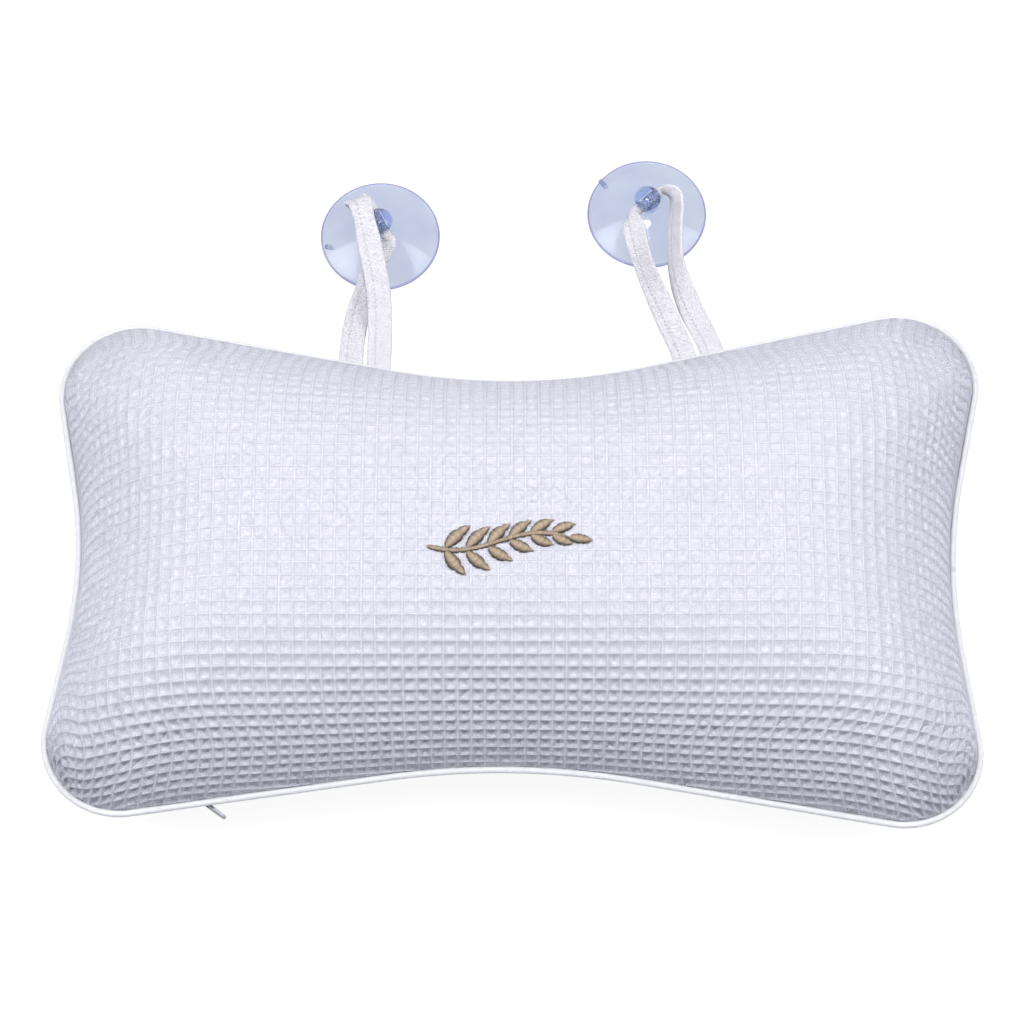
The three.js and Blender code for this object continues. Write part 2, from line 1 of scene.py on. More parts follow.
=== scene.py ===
import json
import math
import bmesh
import bpy
import numpy as np
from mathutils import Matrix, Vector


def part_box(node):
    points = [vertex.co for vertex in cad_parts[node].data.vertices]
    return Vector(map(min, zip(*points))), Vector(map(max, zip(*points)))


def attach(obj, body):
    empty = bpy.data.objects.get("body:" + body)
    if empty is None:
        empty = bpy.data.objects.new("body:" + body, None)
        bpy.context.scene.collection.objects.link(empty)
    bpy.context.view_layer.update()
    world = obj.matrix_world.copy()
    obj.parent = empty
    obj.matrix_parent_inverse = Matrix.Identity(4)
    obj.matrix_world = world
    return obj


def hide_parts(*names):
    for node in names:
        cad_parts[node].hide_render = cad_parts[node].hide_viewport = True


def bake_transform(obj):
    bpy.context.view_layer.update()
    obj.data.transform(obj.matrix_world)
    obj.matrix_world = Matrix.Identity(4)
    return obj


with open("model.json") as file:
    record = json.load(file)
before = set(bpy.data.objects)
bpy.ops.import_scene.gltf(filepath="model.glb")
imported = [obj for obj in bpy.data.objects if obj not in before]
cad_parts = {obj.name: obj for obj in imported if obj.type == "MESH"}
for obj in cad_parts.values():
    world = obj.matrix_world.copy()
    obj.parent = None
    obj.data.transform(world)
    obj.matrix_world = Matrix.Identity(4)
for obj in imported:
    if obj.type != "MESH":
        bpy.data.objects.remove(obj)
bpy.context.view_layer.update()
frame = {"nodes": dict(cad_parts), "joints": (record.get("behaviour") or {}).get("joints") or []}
scene = bpy.context.scene
scene.view_settings.view_transform = "Standard"
print("frame loaded", len(frame["nodes"]), "nodes")


# vectors of length one: each divided by its own length
def unit(a):
    return a / np.linalg.norm(a, axis=-1, keepdims=True)


# way run along a line of points: the sum of the steps so far, from 0
def runAlong(line):
    return np.concatenate([[0], np.cumsum(np.linalg.norm(np.diff(line, axis=0), axis=1))])


# joint of the frame by its name
def jointNamed(name):
    return next(j for j in frame["joints"] if j["name"] == name)


# all sizes below are in millimetres and become metres when a mesh is made
seam = dict(topWidth=368.0, bottomWidth=366.0, topShift=2.8, rightHeight=216.5, leftHeight=207.2,
            cornerRadius=29.0, topWaist=27.0, bottomWaist=20.6, sideWaist=10.0,
            longFlank=101.0, sideFlank=36.5, height=36.0,
            cornerSteps=80, longSteps=330, shortSteps=150, batch=4000)
crown = dict(height=66.0, ridge=190.0, shift=-15.0, sideFull=3.05, endFull=2.4,
             sideFirm=0.78, endFirm=0.56, cornerFirm=0.8, frontRim=36.8, backRim=35.2, backFall=1.15,
             backGap=0.2, backRound=6.0, blur=5.0, soft=0.03, outside=0.5)


# one hollow side: an arc of radius (half^2 + rise^2 - corner^2 - flank^2) / (2 waist) about a centre
# outside the pillow, carried on as straight lines; shares run from -1 to 1 along it
def hollowSide(cornerA, cornerB, waist, flank, shares):
    r = seam["cornerRadius"]
    half = np.linalg.norm(cornerB - cornerA) / 2
    along = (cornerB - cornerA) / (2 * half)
    outward = np.array([along[1], -along[0]])
    rise = r - waist
    radius = (half ** 2 + rise ** 2 - r ** 2 - flank ** 2) / (2 * waist)
    centre = (cornerA + cornerB) / 2 + outward * (rise + radius)
    sweep = math.atan2(half, rise + radius) - math.atan2(flank, r + radius)
    s = np.asarray(shares) * (radius * sweep + flank)
    turn = np.clip(s / radius, -sweep, sweep)
    normal = np.cos(turn)[:, None] * outward - np.sin(turn)[:, None] * along
    tangent = np.stack([-normal[:, 1], normal[:, 0]], 1)
    return centre - normal * radius + tangent * (s - turn * radius)[:, None], normal


# the seam outline, anticlockwise from the middle of the right end: points, outward normals and, for
# each, the ridge point that its side climbs to, at half the ridge's length times sin(share of a right angle)
def seamLine():
    r = seam["cornerRadius"]
    ht, hb = seam["topWidth"] / 2 - r, seam["bottomWidth"] / 2 - r
    hl, hr = seam["leftHeight"] / 2 - r, seam["rightHeight"] / 2 - r
    c = np.array([[seam["topShift"] + ht, hr], [seam["topShift"] - ht, hl], [-hb, -hl], [hb, -hr]])
    waists = [(seam["topWaist"], seam["longFlank"]), (seam["sideWaist"], seam["sideFlank"]),
              (seam["bottomWaist"], seam["longFlank"]), (seam["sideWaist"], seam["sideFlank"])]

    def side(k, a, b, steps):
        shares = a + (b - a) * np.arange(steps) / steps
        return hollowSide(c[k], c[(k + 1) % 4], *waists[k], shares)

    def corner(k):
        before = hollowSide(c[(k + 3) % 4], c[k], *waists[(k + 3) % 4], [1.0])[1][0]
        after = hollowSide(c[k], c[(k + 1) % 4], *waists[k], [-1.0])[1][0]
        a0, a1 = math.atan2(before[1], before[0]), math.atan2(after[1], after[0])
        turn = a0 + ((a1 - a0) % (2 * math.pi)) * np.arange(seam["cornerSteps"]) / seam["cornerSteps"]
        normal = np.stack([np.cos(turn), np.sin(turn)], 1)
        return c[k] + normal * r, normal

    long, short = seam["longSteps"], seam["shortSteps"]
    runs = [side(3, 0, 1, short // 2), corner(0), side(0, -1, 1, long), corner(1), side(1, -1, 1, short),
            corner(2), side(2, -1, 1, long), corner(3), side(3, -1, 0, short // 2)]
    point = np.concatenate([p for p, n in runs])
    normal = np.concatenate([n for p, n in runs])
    across = (point[:, 0] + np.roll(point[::-1, 0], 1)) / 2
    share = np.clip(2 * across / seam["topWidth"], -1, 1)
    ridge = np.stack([crown["ridge"] / 2 * np.sin(np.pi / 2 * share), np.full(len(share), crown["shift"])], 1)
    return point, normal, ridge


seamPoint, seamNormal, seamRidge = seamLine()


# number of the seam point nearest to each plan point, a batch at a time: least |s|^2 / 2 - x . s
def nearestSeam(xy):
    half, batch = 0.5 * (seamPoint ** 2).sum(1), seam["batch"]
    return np.concatenate([(half - xy[a:a + batch] @ seamPoint.T).argmin(1) for a in range(0, len(xy), batch)])


# Gaussian blur along the given axes, sigma in grid steps
def softened(field, sigma, axes=(0, 1)):
    n = int(3 * sigma)
    w = np.exp(-0.5 * (np.arange(-n, n + 1) / sigma) ** 2)
    w /= w.sum()
    for axis in axes:
        wide = np.pad(field, [(n, n) if k == axis else (0, 0) for k in range(field.ndim)], mode="edge")
        field = sum(w[k] * np.take(wide, np.arange(k, k + field.shape[axis]), axis) for k in range(2 * n + 1))
    return field


# how full and how firm the crown stands at each seam normal: from side to end values by nx^2, and to the
# corner's firmness by (2 nx ny)^2 on the upper side
def fullness(normal):
    endShare = normal[:, 0] ** 2
    cornerShare = (2 * normal[:, 0] * np.maximum(normal[:, 1], 0)) ** 2
    full = crown["sideFull"] + (crown["endFull"] - crown["sideFull"]) * endShare
    firm = crown["sideFirm"] + (crown["endFirm"] - crown["sideFirm"]) * endShare
    return full, firm + (crown["cornerFirm"] - firm) * cornerShare


planGrid = dict(step=1.5, halfX=216.0, halfY=141.0, rays=360, top=0.999, edgeBand=3.0,
                blurFrom=1, blurOver=14, firmBlur=6.0)


# fields on a plan grid: climb = 1 - (1 - share)^full along the rays from seam to ridge, which carries on
# below zero outside the seam, and firm, the power that climb is raised to; both are blurred so that the
# four hips melt away
def crownFields():
    step, halfX, halfY = planGrid["step"], planGrid["halfX"], planGrid["halfY"]
    xs = np.arange(-halfX, halfX + step / 2, step)
    ys = np.arange(-halfY, halfY + step / 2, step)
    full, firm = fullness(seamNormal)
    share = (1 - np.cos(np.linspace(0, np.pi / 2, planGrid["rays"])))[None, :]
    px, py = [seamPoint[:, k, None] + (seamRidge[:, k, None] - seamPoint[:, k, None]) * share for k in (0, 1)]
    climb = 1 - (1 - share) ** full[:, None]
    firmAll = np.broadcast_to(firm[:, None], climb.shape)
    ix = np.rint((px - xs[0]) / step).astype(int)
    iy = np.rint((py - ys[0]) / step).astype(int)
    flat = (ix * len(ys) + iy).ravel()
    size = len(xs) * len(ys)
    hits = np.bincount(flat, minlength=size)
    total = np.bincount(flat, climb.ravel(), minlength=size)
    totalFirm = np.bincount(flat, firmAll.ravel(), minlength=size)
    gx, gy = np.meshgrid(xs, ys, indexing="ij")
    nodes = np.stack([gx.ravel(), gy.ravel()], 1)
    near = nearestSeam(nodes)
    away = ((nodes - seamPoint[near]) * seamNormal[near]).sum(1)
    slope = (full / ((seamPoint - seamRidge) * seamNormal).sum(1))[near]
    grid = np.where(hits > 0, total / np.maximum(hits, 1), planGrid["top"])
    edge = away > -planGrid["edgeBand"]
    grid = np.where(edge, -away * slope, grid).reshape(gx.shape)
    firmGrid = np.where((hits > 0) & ~edge, totalFirm / np.maximum(hits, 1), firm[near]).reshape(gx.shape)
    deep = np.clip((-away.reshape(gx.shape) - planGrid["blurFrom"]) / planGrid["blurOver"], 0, 1)
    soft = softened(grid, crown["blur"] / step)
    grid = grid + (soft - grid) * deep
    return xs[0], ys[0], step, grid, softened(firmGrid, planGrid["firmBlur"] / step)


fieldX, fieldY, fieldStep, climbGrid, firmGrid = crownFields()


# bilinear reading of a plan field
def fieldAt(grid, x, y):
    fx = np.clip((x - fieldX) / fieldStep, 0, grid.shape[0] - 1.001)
    fy = np.clip((y - fieldY) / fieldStep, 0, grid.shape[1] - 1.001)
    i, j = fx.astype(int), fy.astype(int)
    u, v = fx - i, fy - j
    return ((1 - u) * (1 - v) * grid[i, j] + u * (1 - v) * grid[i + 1, j]
            + (1 - u) * v * grid[i, j + 1] + u * v * grid[i + 1, j + 1])


# climb * (climb^2 + soft^2)^((firm - 1) / 2): close to climb^firm, with an end to its steepness at the
# seam, and a plain slope outside it
def climbAt(x, y):
    climb = fieldAt(climbGrid, x, y)
    power = climb * (climb ** 2 + crown["soft"] ** 2) ** ((fieldAt(firmGrid, x, y) - 1) / 2)
    return np.where(climb > 0, power, crown["outside"] * climb)


# height of the front above the table: rim + rise * climb
def frontHeight(x, y):
    return crown["frontRim"] + (seam["height"] + crown["height"] - crown["frontRim"]) * climbAt(x, y)


# height of the back: z = rim (1 - fall * climb), overfull and pressed flat by the table as
# gap + (z + sqrt(z^2 + round)) / 2
def backHeight(x, y):
    z = crown["backRim"] * (1 - crown["backFall"] * climbAt(x, y))
    return crown["backGap"] + 0.5 * (z + np.sqrt(z * z + crown["backRound"]))


cloth = dict(columnPitch=5.28, rowPitch=5.13, columns=47, rows=36, reachX=213, reachY=138, fine=0.2, every=5,
             calm=3.0, rounds=14, ease=0.4, depth=1.9, lift=0.3, bowl=0.7, ridgeHalf=0.32,
             dimple=0.12, dimpleSize=0.5, pull=(0.0, 0.45, 0.89), tautFrom=0.45, tautOver=0.45, tautLoss=0.55,
             pinBand=0.6, rimBand=9.0, easeBand=3.0, rimRelief=0.75, table=0.25, turnIn=0.1, shut=0.05,
             cap=2.6, frames=20)


# places at even arc length along each line of heights, counted from the line's middle
def evenPlaces(along, z, middle, want):
    steps = np.hypot(np.diff(along), np.diff(z, axis=1))
    run = np.concatenate([np.zeros((len(z), 1)), np.cumsum(steps, 1)], 1)
    run -= run[:, [int(np.argmin(abs(along - middle)))]]
    return np.array([np.interp(want, r, along) for r in run])


# a weave lattice laid on a height: column i crosses each level line y = const where its arc length is
# i pitches, row j crosses each line x = const where its arc length is j pitches, and the crossings are
# found by going to and fro between the two; outside the seam the cloth counts as flat
def layCloth(height, side, rim):
    nu, nv, ease = cloth["columns"], cloth["rows"], cloth["ease"]
    xs, ys = [np.arange(-k, k + 0.1, cloth["fine"]) for k in (cloth["reachX"], cloth["reachY"])]
    lineX, lineY = xs[::cloth["every"]], ys[::cloth["every"]]

    def pressed(x, y):
        return side * np.maximum(side * height(x, y), side * rim)
    zRow = pressed(xs[None, :] + 0 * lineY[:, None], lineY[:, None] + 0 * xs[None, :])
    zCol = pressed(lineX[:, None] + 0 * ys[None, :], ys[None, :] + 0 * lineX[:, None])
    colX = evenPlaces(xs, zRow, 0.0, np.arange(-nu, nu + 1) * cloth["columnPitch"])
    rowY = evenPlaces(ys, zCol, crown["shift"], np.arange(-nv, nv + 1) * cloth["rowPitch"])
    colX, rowY = [softened(k, cloth["calm"], (0,)) for k in (colX, rowY)]
    y = np.repeat(rowY[[len(lineX) // 2]], 2 * nu + 1, 0)
    x = np.repeat(colX[[int(np.argmin(abs(lineY - crown["shift"])))]].T, 2 * nv + 1, 1)
    for k in range(cloth["rounds"]):
        rows = np.array([np.interp(x[:, j], lineX, rowY[:, j]) for j in range(2 * nv + 1)]).T
        y = (1 - ease) * y + ease * rows
        columns = np.array([np.interp(y[i], lineY, colX[:, i]) for i in range(2 * nu + 1)])
        x = (1 - ease) * x + ease * columns
    return np.stack([x, y, height(x, y)], 2)


# Catmull-Rom weights from whole lattice steps to the given places
def splineWeights(count, places):
    i = np.clip(np.floor(places).astype(int), 0, count - 2)
    t = places - i
    w = np.stack([-0.5 * t + t ** 2 - 0.5 * t ** 3, 1 - 2.5 * t ** 2 + 1.5 * t ** 3,
                  0.5 * t + 2 * t ** 2 - 1.5 * t ** 3, -0.5 * t ** 2 + 0.5 * t ** 3], 1)
    m = np.zeros((len(places), count))
    for k in range(4):
        np.add.at(m, (np.arange(len(places)), np.clip(i + k - 1, 0, count - 1)), w[:, k])
    return m


# one uv pair for each vertex, written to every face corner that uses it
def writeUv(mesh, name, uv):
    layer = mesh.uv_layers.new(name=name)
    corner = np.zeros(len(mesh.loops), np.int32)
    mesh.loops.foreach_get("vertex_index", corner)
    layer.data.foreach_set("uv", np.ascontiguousarray(uv[corner], np.float32).ravel())


# a mesh object from points in millimetres, 0.001 of each in metres
def meshPiece(name, verts, faces, uv=None, smooth=True):
    mesh = bpy.data.meshes.new(name)
    faces = faces if isinstance(faces, list) else faces.tolist()
    mesh.from_pydata((np.asarray(verts) * 0.001).tolist(), [], faces)
    if uv is not None:
        writeUv(mesh, "weave", uv)
    mesh.polygons.foreach_set("use_smooth", np.full(len(mesh.polygons), smooth))
    mesh.update()
    obj = bpy.data.objects.new(name, mesh)
    scene.collection.objects.link(obj)
    return obj


# places of an object's vertices, in metres
def vertexPlaces(obj):
    co = np.zeros(len(obj.data.vertices) * 3)
    obj.data.vertices.foreach_get("co", co)
    return co.reshape(-1, 3)


# faces of a grid of nu by nv points, numbered i * nv + j, closed round either way if asked
def gridFaces(nu, nv, closeU=False, closeV=False):
    i = np.arange(nu if closeU else nu - 1)
    j = np.arange(nv if closeV else nv - 1)
    i, j = [a.ravel() for a in np.meshgrid(i, j, indexing="ij")]
    i2, j2 = (i + 1) % nu, (j + 1) % nv
    return np.stack([i * nv + j, i2 * nv + j, i2 * nv + j2, i * nv + j2], 1)


# faces of a tube of n rings of m points, with a cap on each end ring
def tubeFaces(n, m):
    return gridFaces(n, m, closeV=True).tolist() + [list(range(m))[::-1], list(range((n - 1) * m, n * m))]


# turns all faces outwards, after joining points closer than merge metres if that is above 0
def recalculated(obj, merge=0.0):
    bm = bmesh.new()
    bm.from_mesh(obj.data)
    if merge > 0:
        bmesh.ops.remove_doubles(bm, verts=bm.verts, dist=merge)
    bmesh.ops.recalc_face_normals(bm, faces=bm.faces)
    bm.to_mesh(obj.data)
    bm.free()


weld = 1e-6  # metres
fabric = dict(quality=6, mass=0.25, vertex_group_mass="pin", tension_stiffness=40, compression_stiffness=12,
              shear_stiffness=4, bending_stiffness=1.5, use_pressure=True, uniform_pressure_force=2.0,
              shrink_min=0.004)


# swells a lattice with Blender's cloth: seam and hem pinned, pressure from inside, and the movement d
# shortened to d * min(1, cap / |d|)
def swell(p, pinned, inward):
    nu, nv = p.shape[:2]
    faces = gridFaces(nu, nv)
    obj = meshPiece("swelling", p.reshape(-1, 3), faces[:, ::-1] if inward else faces)
    group = obj.vertex_groups.new(name="pin")
    group.add(np.flatnonzero(pinned.ravel()).tolist(), 1.0, "REPLACE")
    mod = obj.modifiers.new("cloth", "CLOTH")
    for key, value in fabric.items():
        setattr(mod.settings, key, value)
    mod.settings.effector_weights.gravity = 0
    mod.collision_settings.use_collision = False
    for f in range(1, cloth["frames"] + 1):
        scene.frame_set(f)
    dep = bpy.context.evaluated_depsgraph_get()
    done = obj.evaluated_get(dep).to_mesh()
    co = np.zeros(len(done.vertices) * 3)
    done.vertices.foreach_get("co", co)
    obj.evaluated_get(dep).to_mesh_clear()
    scene.frame_set(1)
    bpy.data.objects.remove(obj, do_unlink=True)
    move = co.reshape(p.shape) * 1000 - p
    far = np.linalg.norm(move, axis=2, keepdims=True)
    return p + move * np.minimum(1, cloth["cap"] / np.maximum(far, 1e-6))


# waffle relief of one cell: ridges along its edges, then a pocket, by the distance m in from the nearer
# edge: lift up to ridgeHalf, then falling by depth * t^bowl to the middle, t running from 0 to 1, with a
# small dimple where ridges cross
def waffle(u, v):
    a = np.abs(u - np.rint(u)) * cloth["columnPitch"]
    b = np.abs(v - np.rint(v)) * cloth["rowPitch"]
    m = np.minimum(a[:, None], b[None, :])
    t = np.clip((m - cloth["ridgeHalf"]) / (cloth["rowPitch"] / 2 - cloth["ridgeHalf"]), 0, 1)
    crossing = cloth["dimple"] * np.exp(-(a[:, None] ** 2 + b[None, :] ** 2) / cloth["dimpleSize"])
    return cloth["lift"] - cloth["depth"] * t ** cloth["bowl"] - crossing


# points just outside come back along their edges to where over is 0: the mean, over the neighbours that
# are inside, of other + (q - other) * otherOver / (otherOver - over)
def drawnBack(q, over, keep):
    total = np.zeros_like(q)
    count = np.zeros(q.shape[:2])
    for i, j in ((1, 0), (-1, 0), (0, 1), (0, -1), (1, 1), (1, -1), (-1, 1), (-1, -1)):
        other = np.roll(q, (-i, -j), (0, 1))
        otherOver = np.roll(over, (-i, -j), (0, 1))
        ok = ~keep & (otherOver > 0)
        t = np.where(ok, otherOver / np.maximum(otherOver - over, 1e-6), 0)
        total += np.where(ok[..., None], other + (q - other) * t[..., None], 0)
        count += ok
    return np.where((count > 0)[..., None], total / np.maximum(count, 1)[..., None], q), count > 0


# a cover panel: lattice refined inside each cell, relief added along the normals as waffle
# * (1 - tautLoss * taut) * (rimRelief + (1 - rimRelief) * near) * calm, then cut at the rim
def coverPanel(height, side, cuts, rimAt, calm):
    standardRim = crown["frontRim"] if side > 0 else crown["backRim"]
    p = layCloth(height, side, standardRim)
    inside = side * (p[..., 2] - rimAt(p[..., 0], p[..., 1])) > cloth["pinBand"]
    p = swell(p, ~inside, side < 0)
    p[..., 2] = np.maximum(p[..., 2], cloth["table"])
    nu, nv = p.shape[:2]
    u, v = [(np.arange(n - 1)[:, None] + np.array(cuts)[None, :]).ravel() for n in (nu, nv)]
    q = np.einsum("ai,ijc,bj->abc", splineWeights(nu, u), p, splineWeights(nv, v), optimize=True)
    normal = np.cross(np.gradient(q, u, axis=0), np.gradient(q, v, axis=1)) * side
    normal /= np.maximum(np.linalg.norm(normal, axis=2, keepdims=True), 1e-9)
    over = side * (q[..., 2] - rimAt(q[..., 0], q[..., 1]))
    # a point counts as inside while it is past the rim and within the seam line
    low = over < cloth["rimBand"]
    flat = q[low][:, :2]
    nearest = nearestSeam(flat)
    over[low] = np.minimum(over[low], ((seamPoint[nearest] - flat) * seamNormal[nearest]).sum(1))
    keep = over > 0
    near = np.clip(over / cloth["easeBand"], 0, 1)
    taut = np.clip((normal @ np.array(cloth["pull"]) - cloth["tautFrom"]) / cloth["tautOver"], 0, 1)
    relief = (waffle(u, v) * (1 - cloth["tautLoss"] * taut)
              * (cloth["rimRelief"] + (1 - cloth["rimRelief"]) * near) * calm(q[..., 0], q[..., 1]))
    q = q + normal * relief[..., None] * keep[..., None]
    q, sewnEdge = drawnBack(q, over, keep)
    # where the cover is sewn all round, those points go on to the seam line itself
    sewnEdge &= abs(rimAt(q[..., 0], q[..., 1]) - standardRim) < cloth["shut"]
    nearest = nearestSeam(q[sewnEdge][:, :2])
    q[sewnEdge] = np.column_stack([seamPoint[nearest] - cloth["turnIn"] * seamNormal[nearest],
                                   np.full(len(nearest), standardRim)])
    faces = gridFaces(*q.shape[:2])
    faces = faces[keep.ravel()[faces].any(1)]
    used, inverse = np.unique(faces, return_inverse=True)
    uu, vv = np.meshgrid(u, v, indexing="ij")
    uv = np.stack([uu.ravel(), vv.ravel()], 1)[used]
    faces = inverse.reshape(faces.shape)
    return q.reshape(-1, 3)[used], faces[:, ::-1] if side < 0 else faces, uv


# the front's edge lies level all round
def frontRimAt(x, y):
    return crown["frontRim"] + 0 * x


patch = dict(x=-5.4, y=-17.0, halfWidth=31.0, halfHeight=18.0, pressed=0.5, pressedTo=0.7, freeOver=0.4,
             fitX=42, fitY=28, fitScale=30)


# the stitched patch flattens the cells: the share of their depth that is left, 0.5 inside the ellipse
# and rising evenly to 1 just past its edge
def stitchedCalm(x, y):
    r = np.hypot((x - patch["x"]) / patch["halfWidth"], (y - patch["y"]) / patch["halfHeight"])
    free = patch["pressed"] + (1 - patch["pressed"]) * (r - patch["pressedTo"]) / patch["freeOver"]
    return np.clip(free, patch["pressed"], 1)


hem = dict(every=4, insets=(cloth["turnIn"], 4.0, 8.0))


# hem: the seam allowance, folded in level behind the seam as strips at the insets, left out where the
# cover stands open
def hemmed(panel, z, rimAt):
    verts, faces, uv = panel
    point, normal = seamPoint[::hem["every"]], seamNormal[::hem["every"]]
    n = len(point)
    shut = abs(rimAt(point[:, 0], point[:, 1]) - z) < cloth["shut"]
    ring = np.concatenate([point - normal * k for k in hem["insets"]])
    ring = np.concatenate([ring, np.full((len(ring), 1), z)], 1)
    strip = gridFaces(len(hem["insets"]), n, closeV=True)
    strip = strip[(shut & np.roll(shut, -1))[strip[:, 0] % n]]
    if z < seam["height"]:
        strip = strip[:, ::-1]
    uv = np.concatenate([uv, ring[:, :2] / cloth["columnPitch"]])
    return np.concatenate([verts, ring]), np.concatenate([faces, strip + len(verts)]), uv


frontCuts, backCuts = [0, 0.07, 0.2, 0.5, 0.8, 0.93], [0, 0.1, 0.5, 0.9]
frontPanel = coverPanel(frontHeight, 1, frontCuts, frontRimAt, stitchedCalm)
front = meshPiece("front_cover", *hemmed(frontPanel, crown["frontRim"], frontRimAt))
print("front cover", len(front.data.polygons), "faces")

zipLow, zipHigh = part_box("zip_tape_front")
opening = dict(zipFrom=zipLow.x * 1000 - 0.5, zipTo=zipHigh.x * 1000 + 0.5, zipRim=28.0, zipSoft=2.0,
               strapX=(-60.0, 76.0), strapHalf=11.2, strapRim=32.3, strapSoft=1.0, beyond=50)


# the back's edge hangs lower along the zip and under the strap ends: its rim less the drop of each band,
# which eases in over soft at both ends
def backRimAt(x, y):
    def band(a, b, soft):
        return np.clip((x - a) / soft + 0.5, 0, 1) * np.clip((b - x) / soft + 0.5, 0, 1)
    along = band(opening["zipFrom"], opening["zipTo"], opening["zipSoft"])
    drop = (crown["backRim"] - opening["zipRim"]) * along * (y < -opening["beyond"])
    for sx in opening["strapX"]:
        along = band(sx - opening["strapHalf"], sx + opening["strapHalf"], opening["strapSoft"])
        drop = drop + (crown["backRim"] - opening["strapRim"]) * along * (y > opening["beyond"])
    return crown["backRim"] - drop


backPanel = coverPanel(backHeight, -1, backCuts, backRimAt, lambda x, y: np.ones(np.shape(x)))
back = meshPiece("back_cover", *hemmed(backPanel, crown["backRim"], backRimAt))
print("back cover", len(back.data.polygons), "faces")

pad = dict(inset=11.0, wall=0.8, top=97.2, floor=2.2, every=8, rings=16, turn=80,
           frontBase=36.15, backBase=35.85, fillBase=36.0, fillGap=1.6)


# rings of the inner pad: from inset inside the seam towards the ridge, share = 1 - cos(turn) of the way,
# z + rise * (1 - (1 - share)^full)^firm high, never below floor
def padRings(inset, z, rise, floor):
    point, normal, ridge = seamPoint[::pad["every"]], seamNormal[::pad["every"]], seamRidge[::pad["every"]]
    full, firm = fullness(normal)
    share = 1 - np.cos(np.linspace(0, math.radians(pad["turn"]), pad["rings"]))[:, None]
    start = (inset / ((point - ridge) * normal).sum(1))[None, :]
    way = (start + (1 - start) * share)[..., None]
    plan = point[None] + (ridge - point)[None] * way
    lift = (1 - (1 - share) ** full[None]) ** firm[None]
    return np.concatenate([plan, np.maximum(floor, z + rise * lift)[..., None]], 2)


# a closed shell through rings of points, one after the other
def ringShell(name, rings):
    obj = meshPiece(name, rings.reshape(-1, 3), tubeFaces(*rings.shape[:2]))
    recalculated(obj)
    return obj


# half of the pad's case: outer rings and, one wall further in, inner rings
def padCase(name, z, rise, floor):
    wall = pad["wall"]
    outer = padRings(pad["inset"], z, rise, floor)
    inner = padRings(pad["inset"] + wall, z, rise - math.copysign(wall, rise), floor + wall * (rise < 0))
    return ringShell(name, np.concatenate([outer[::-1], inner]))


caseFront = padCase("pad_case_front", pad["frontBase"], pad["top"] - pad["frontBase"], 0)
backSag = -(pad["backBase"] - pad["floor"]) * crown["backFall"]
caseBack = padCase("pad_case_back", pad["backBase"], backSag, pad["floor"])
fillInset, fillFloor = pad["inset"] + 4 * pad["wall"], pad["floor"] + pad["fillGap"]
fillTop = padRings(fillInset, pad["fillBase"], pad["top"] - pad["fillGap"] - pad["fillBase"], 0)
fillBase = padRings(fillInset, pad["fillBase"], -(pad["fillBase"] - fillFloor) * crown["backFall"], fillFloor)
filling = ringShell("pad_filling", np.concatenate([fillTop[::-1], fillBase[1:]]))
print("inner pad")

piping = dict(cord=0.7, room=0.25, wall=0.35, slit=0.3, flange=7.0, steps=26,
              twist=0.035, twistEvery=4.6, uneven=0.03, unevenOver=9.0, puffUp=0.4)


# piping: a strip folded round its cord, its profile carried round the seam; inset runs inwards, and the
# fold's radius swells a few hundredths, as twist * sin + uneven * sin, where the bias cut twists round it
def pipingStrip():
    hollow = piping["cord"] + piping["room"]
    outer = hollow + piping["wall"]
    half, slit, flange = piping["wall"] + piping["slit"] / 2, piping["slit"] / 2, piping["flange"]

    def fold(radius, gap, direction):
        reach = math.pi - math.asin(gap / radius)
        a = direction * reach * (1 - 2 * np.arange(piping["steps"] + 1) / piping["steps"])
        return np.stack([-outer - radius * np.cos(a), radius * np.sin(a)], 1)
    profile = np.concatenate([[[flange, half]], fold(outer, half, 1), [[flange, -half]],
                              [[flange, -slit]], fold(hollow, slit, -1), [[flange, slit]]])
    point, normal = seamPoint[::2], seamNormal[::2]
    length = runAlong(point)
    onFold = np.zeros(len(profile))
    onFold[1:piping["steps"] + 2] = np.sin(np.linspace(0, math.pi, piping["steps"] + 1))
    turn = np.arctan2(profile[:, 1], profile[:, 0] + outer)
    puff = (piping["twist"] * np.sin(length[:, None] * 2 * math.pi / piping["twistEvery"] + 2 * turn[None])
            + piping["uneven"] * np.sin(length[:, None] / piping["unevenOver"]))
    inset = profile[None, :, 0] - puff * onFold[None]
    xy = point[:, None, :] - normal[:, None, :] * inset[..., None]
    z = seam["height"] + profile[None, :, 1] * (1 + piping["puffUp"] * puff * onFold[None])
    verts = np.concatenate([xy, z[..., None]], 2)
    n, m = verts.shape[:2]
    uv = np.stack([np.broadcast_to(length[:, None], (n, m)), np.broadcast_to(np.arange(m)[None], (n, m))], 2)
    return meshPiece("piping_strip", verts.reshape(-1, 3), gridFaces(n, m, True, True), uv.reshape(-1, 2))


pipe = pipingStrip()
print("piping")

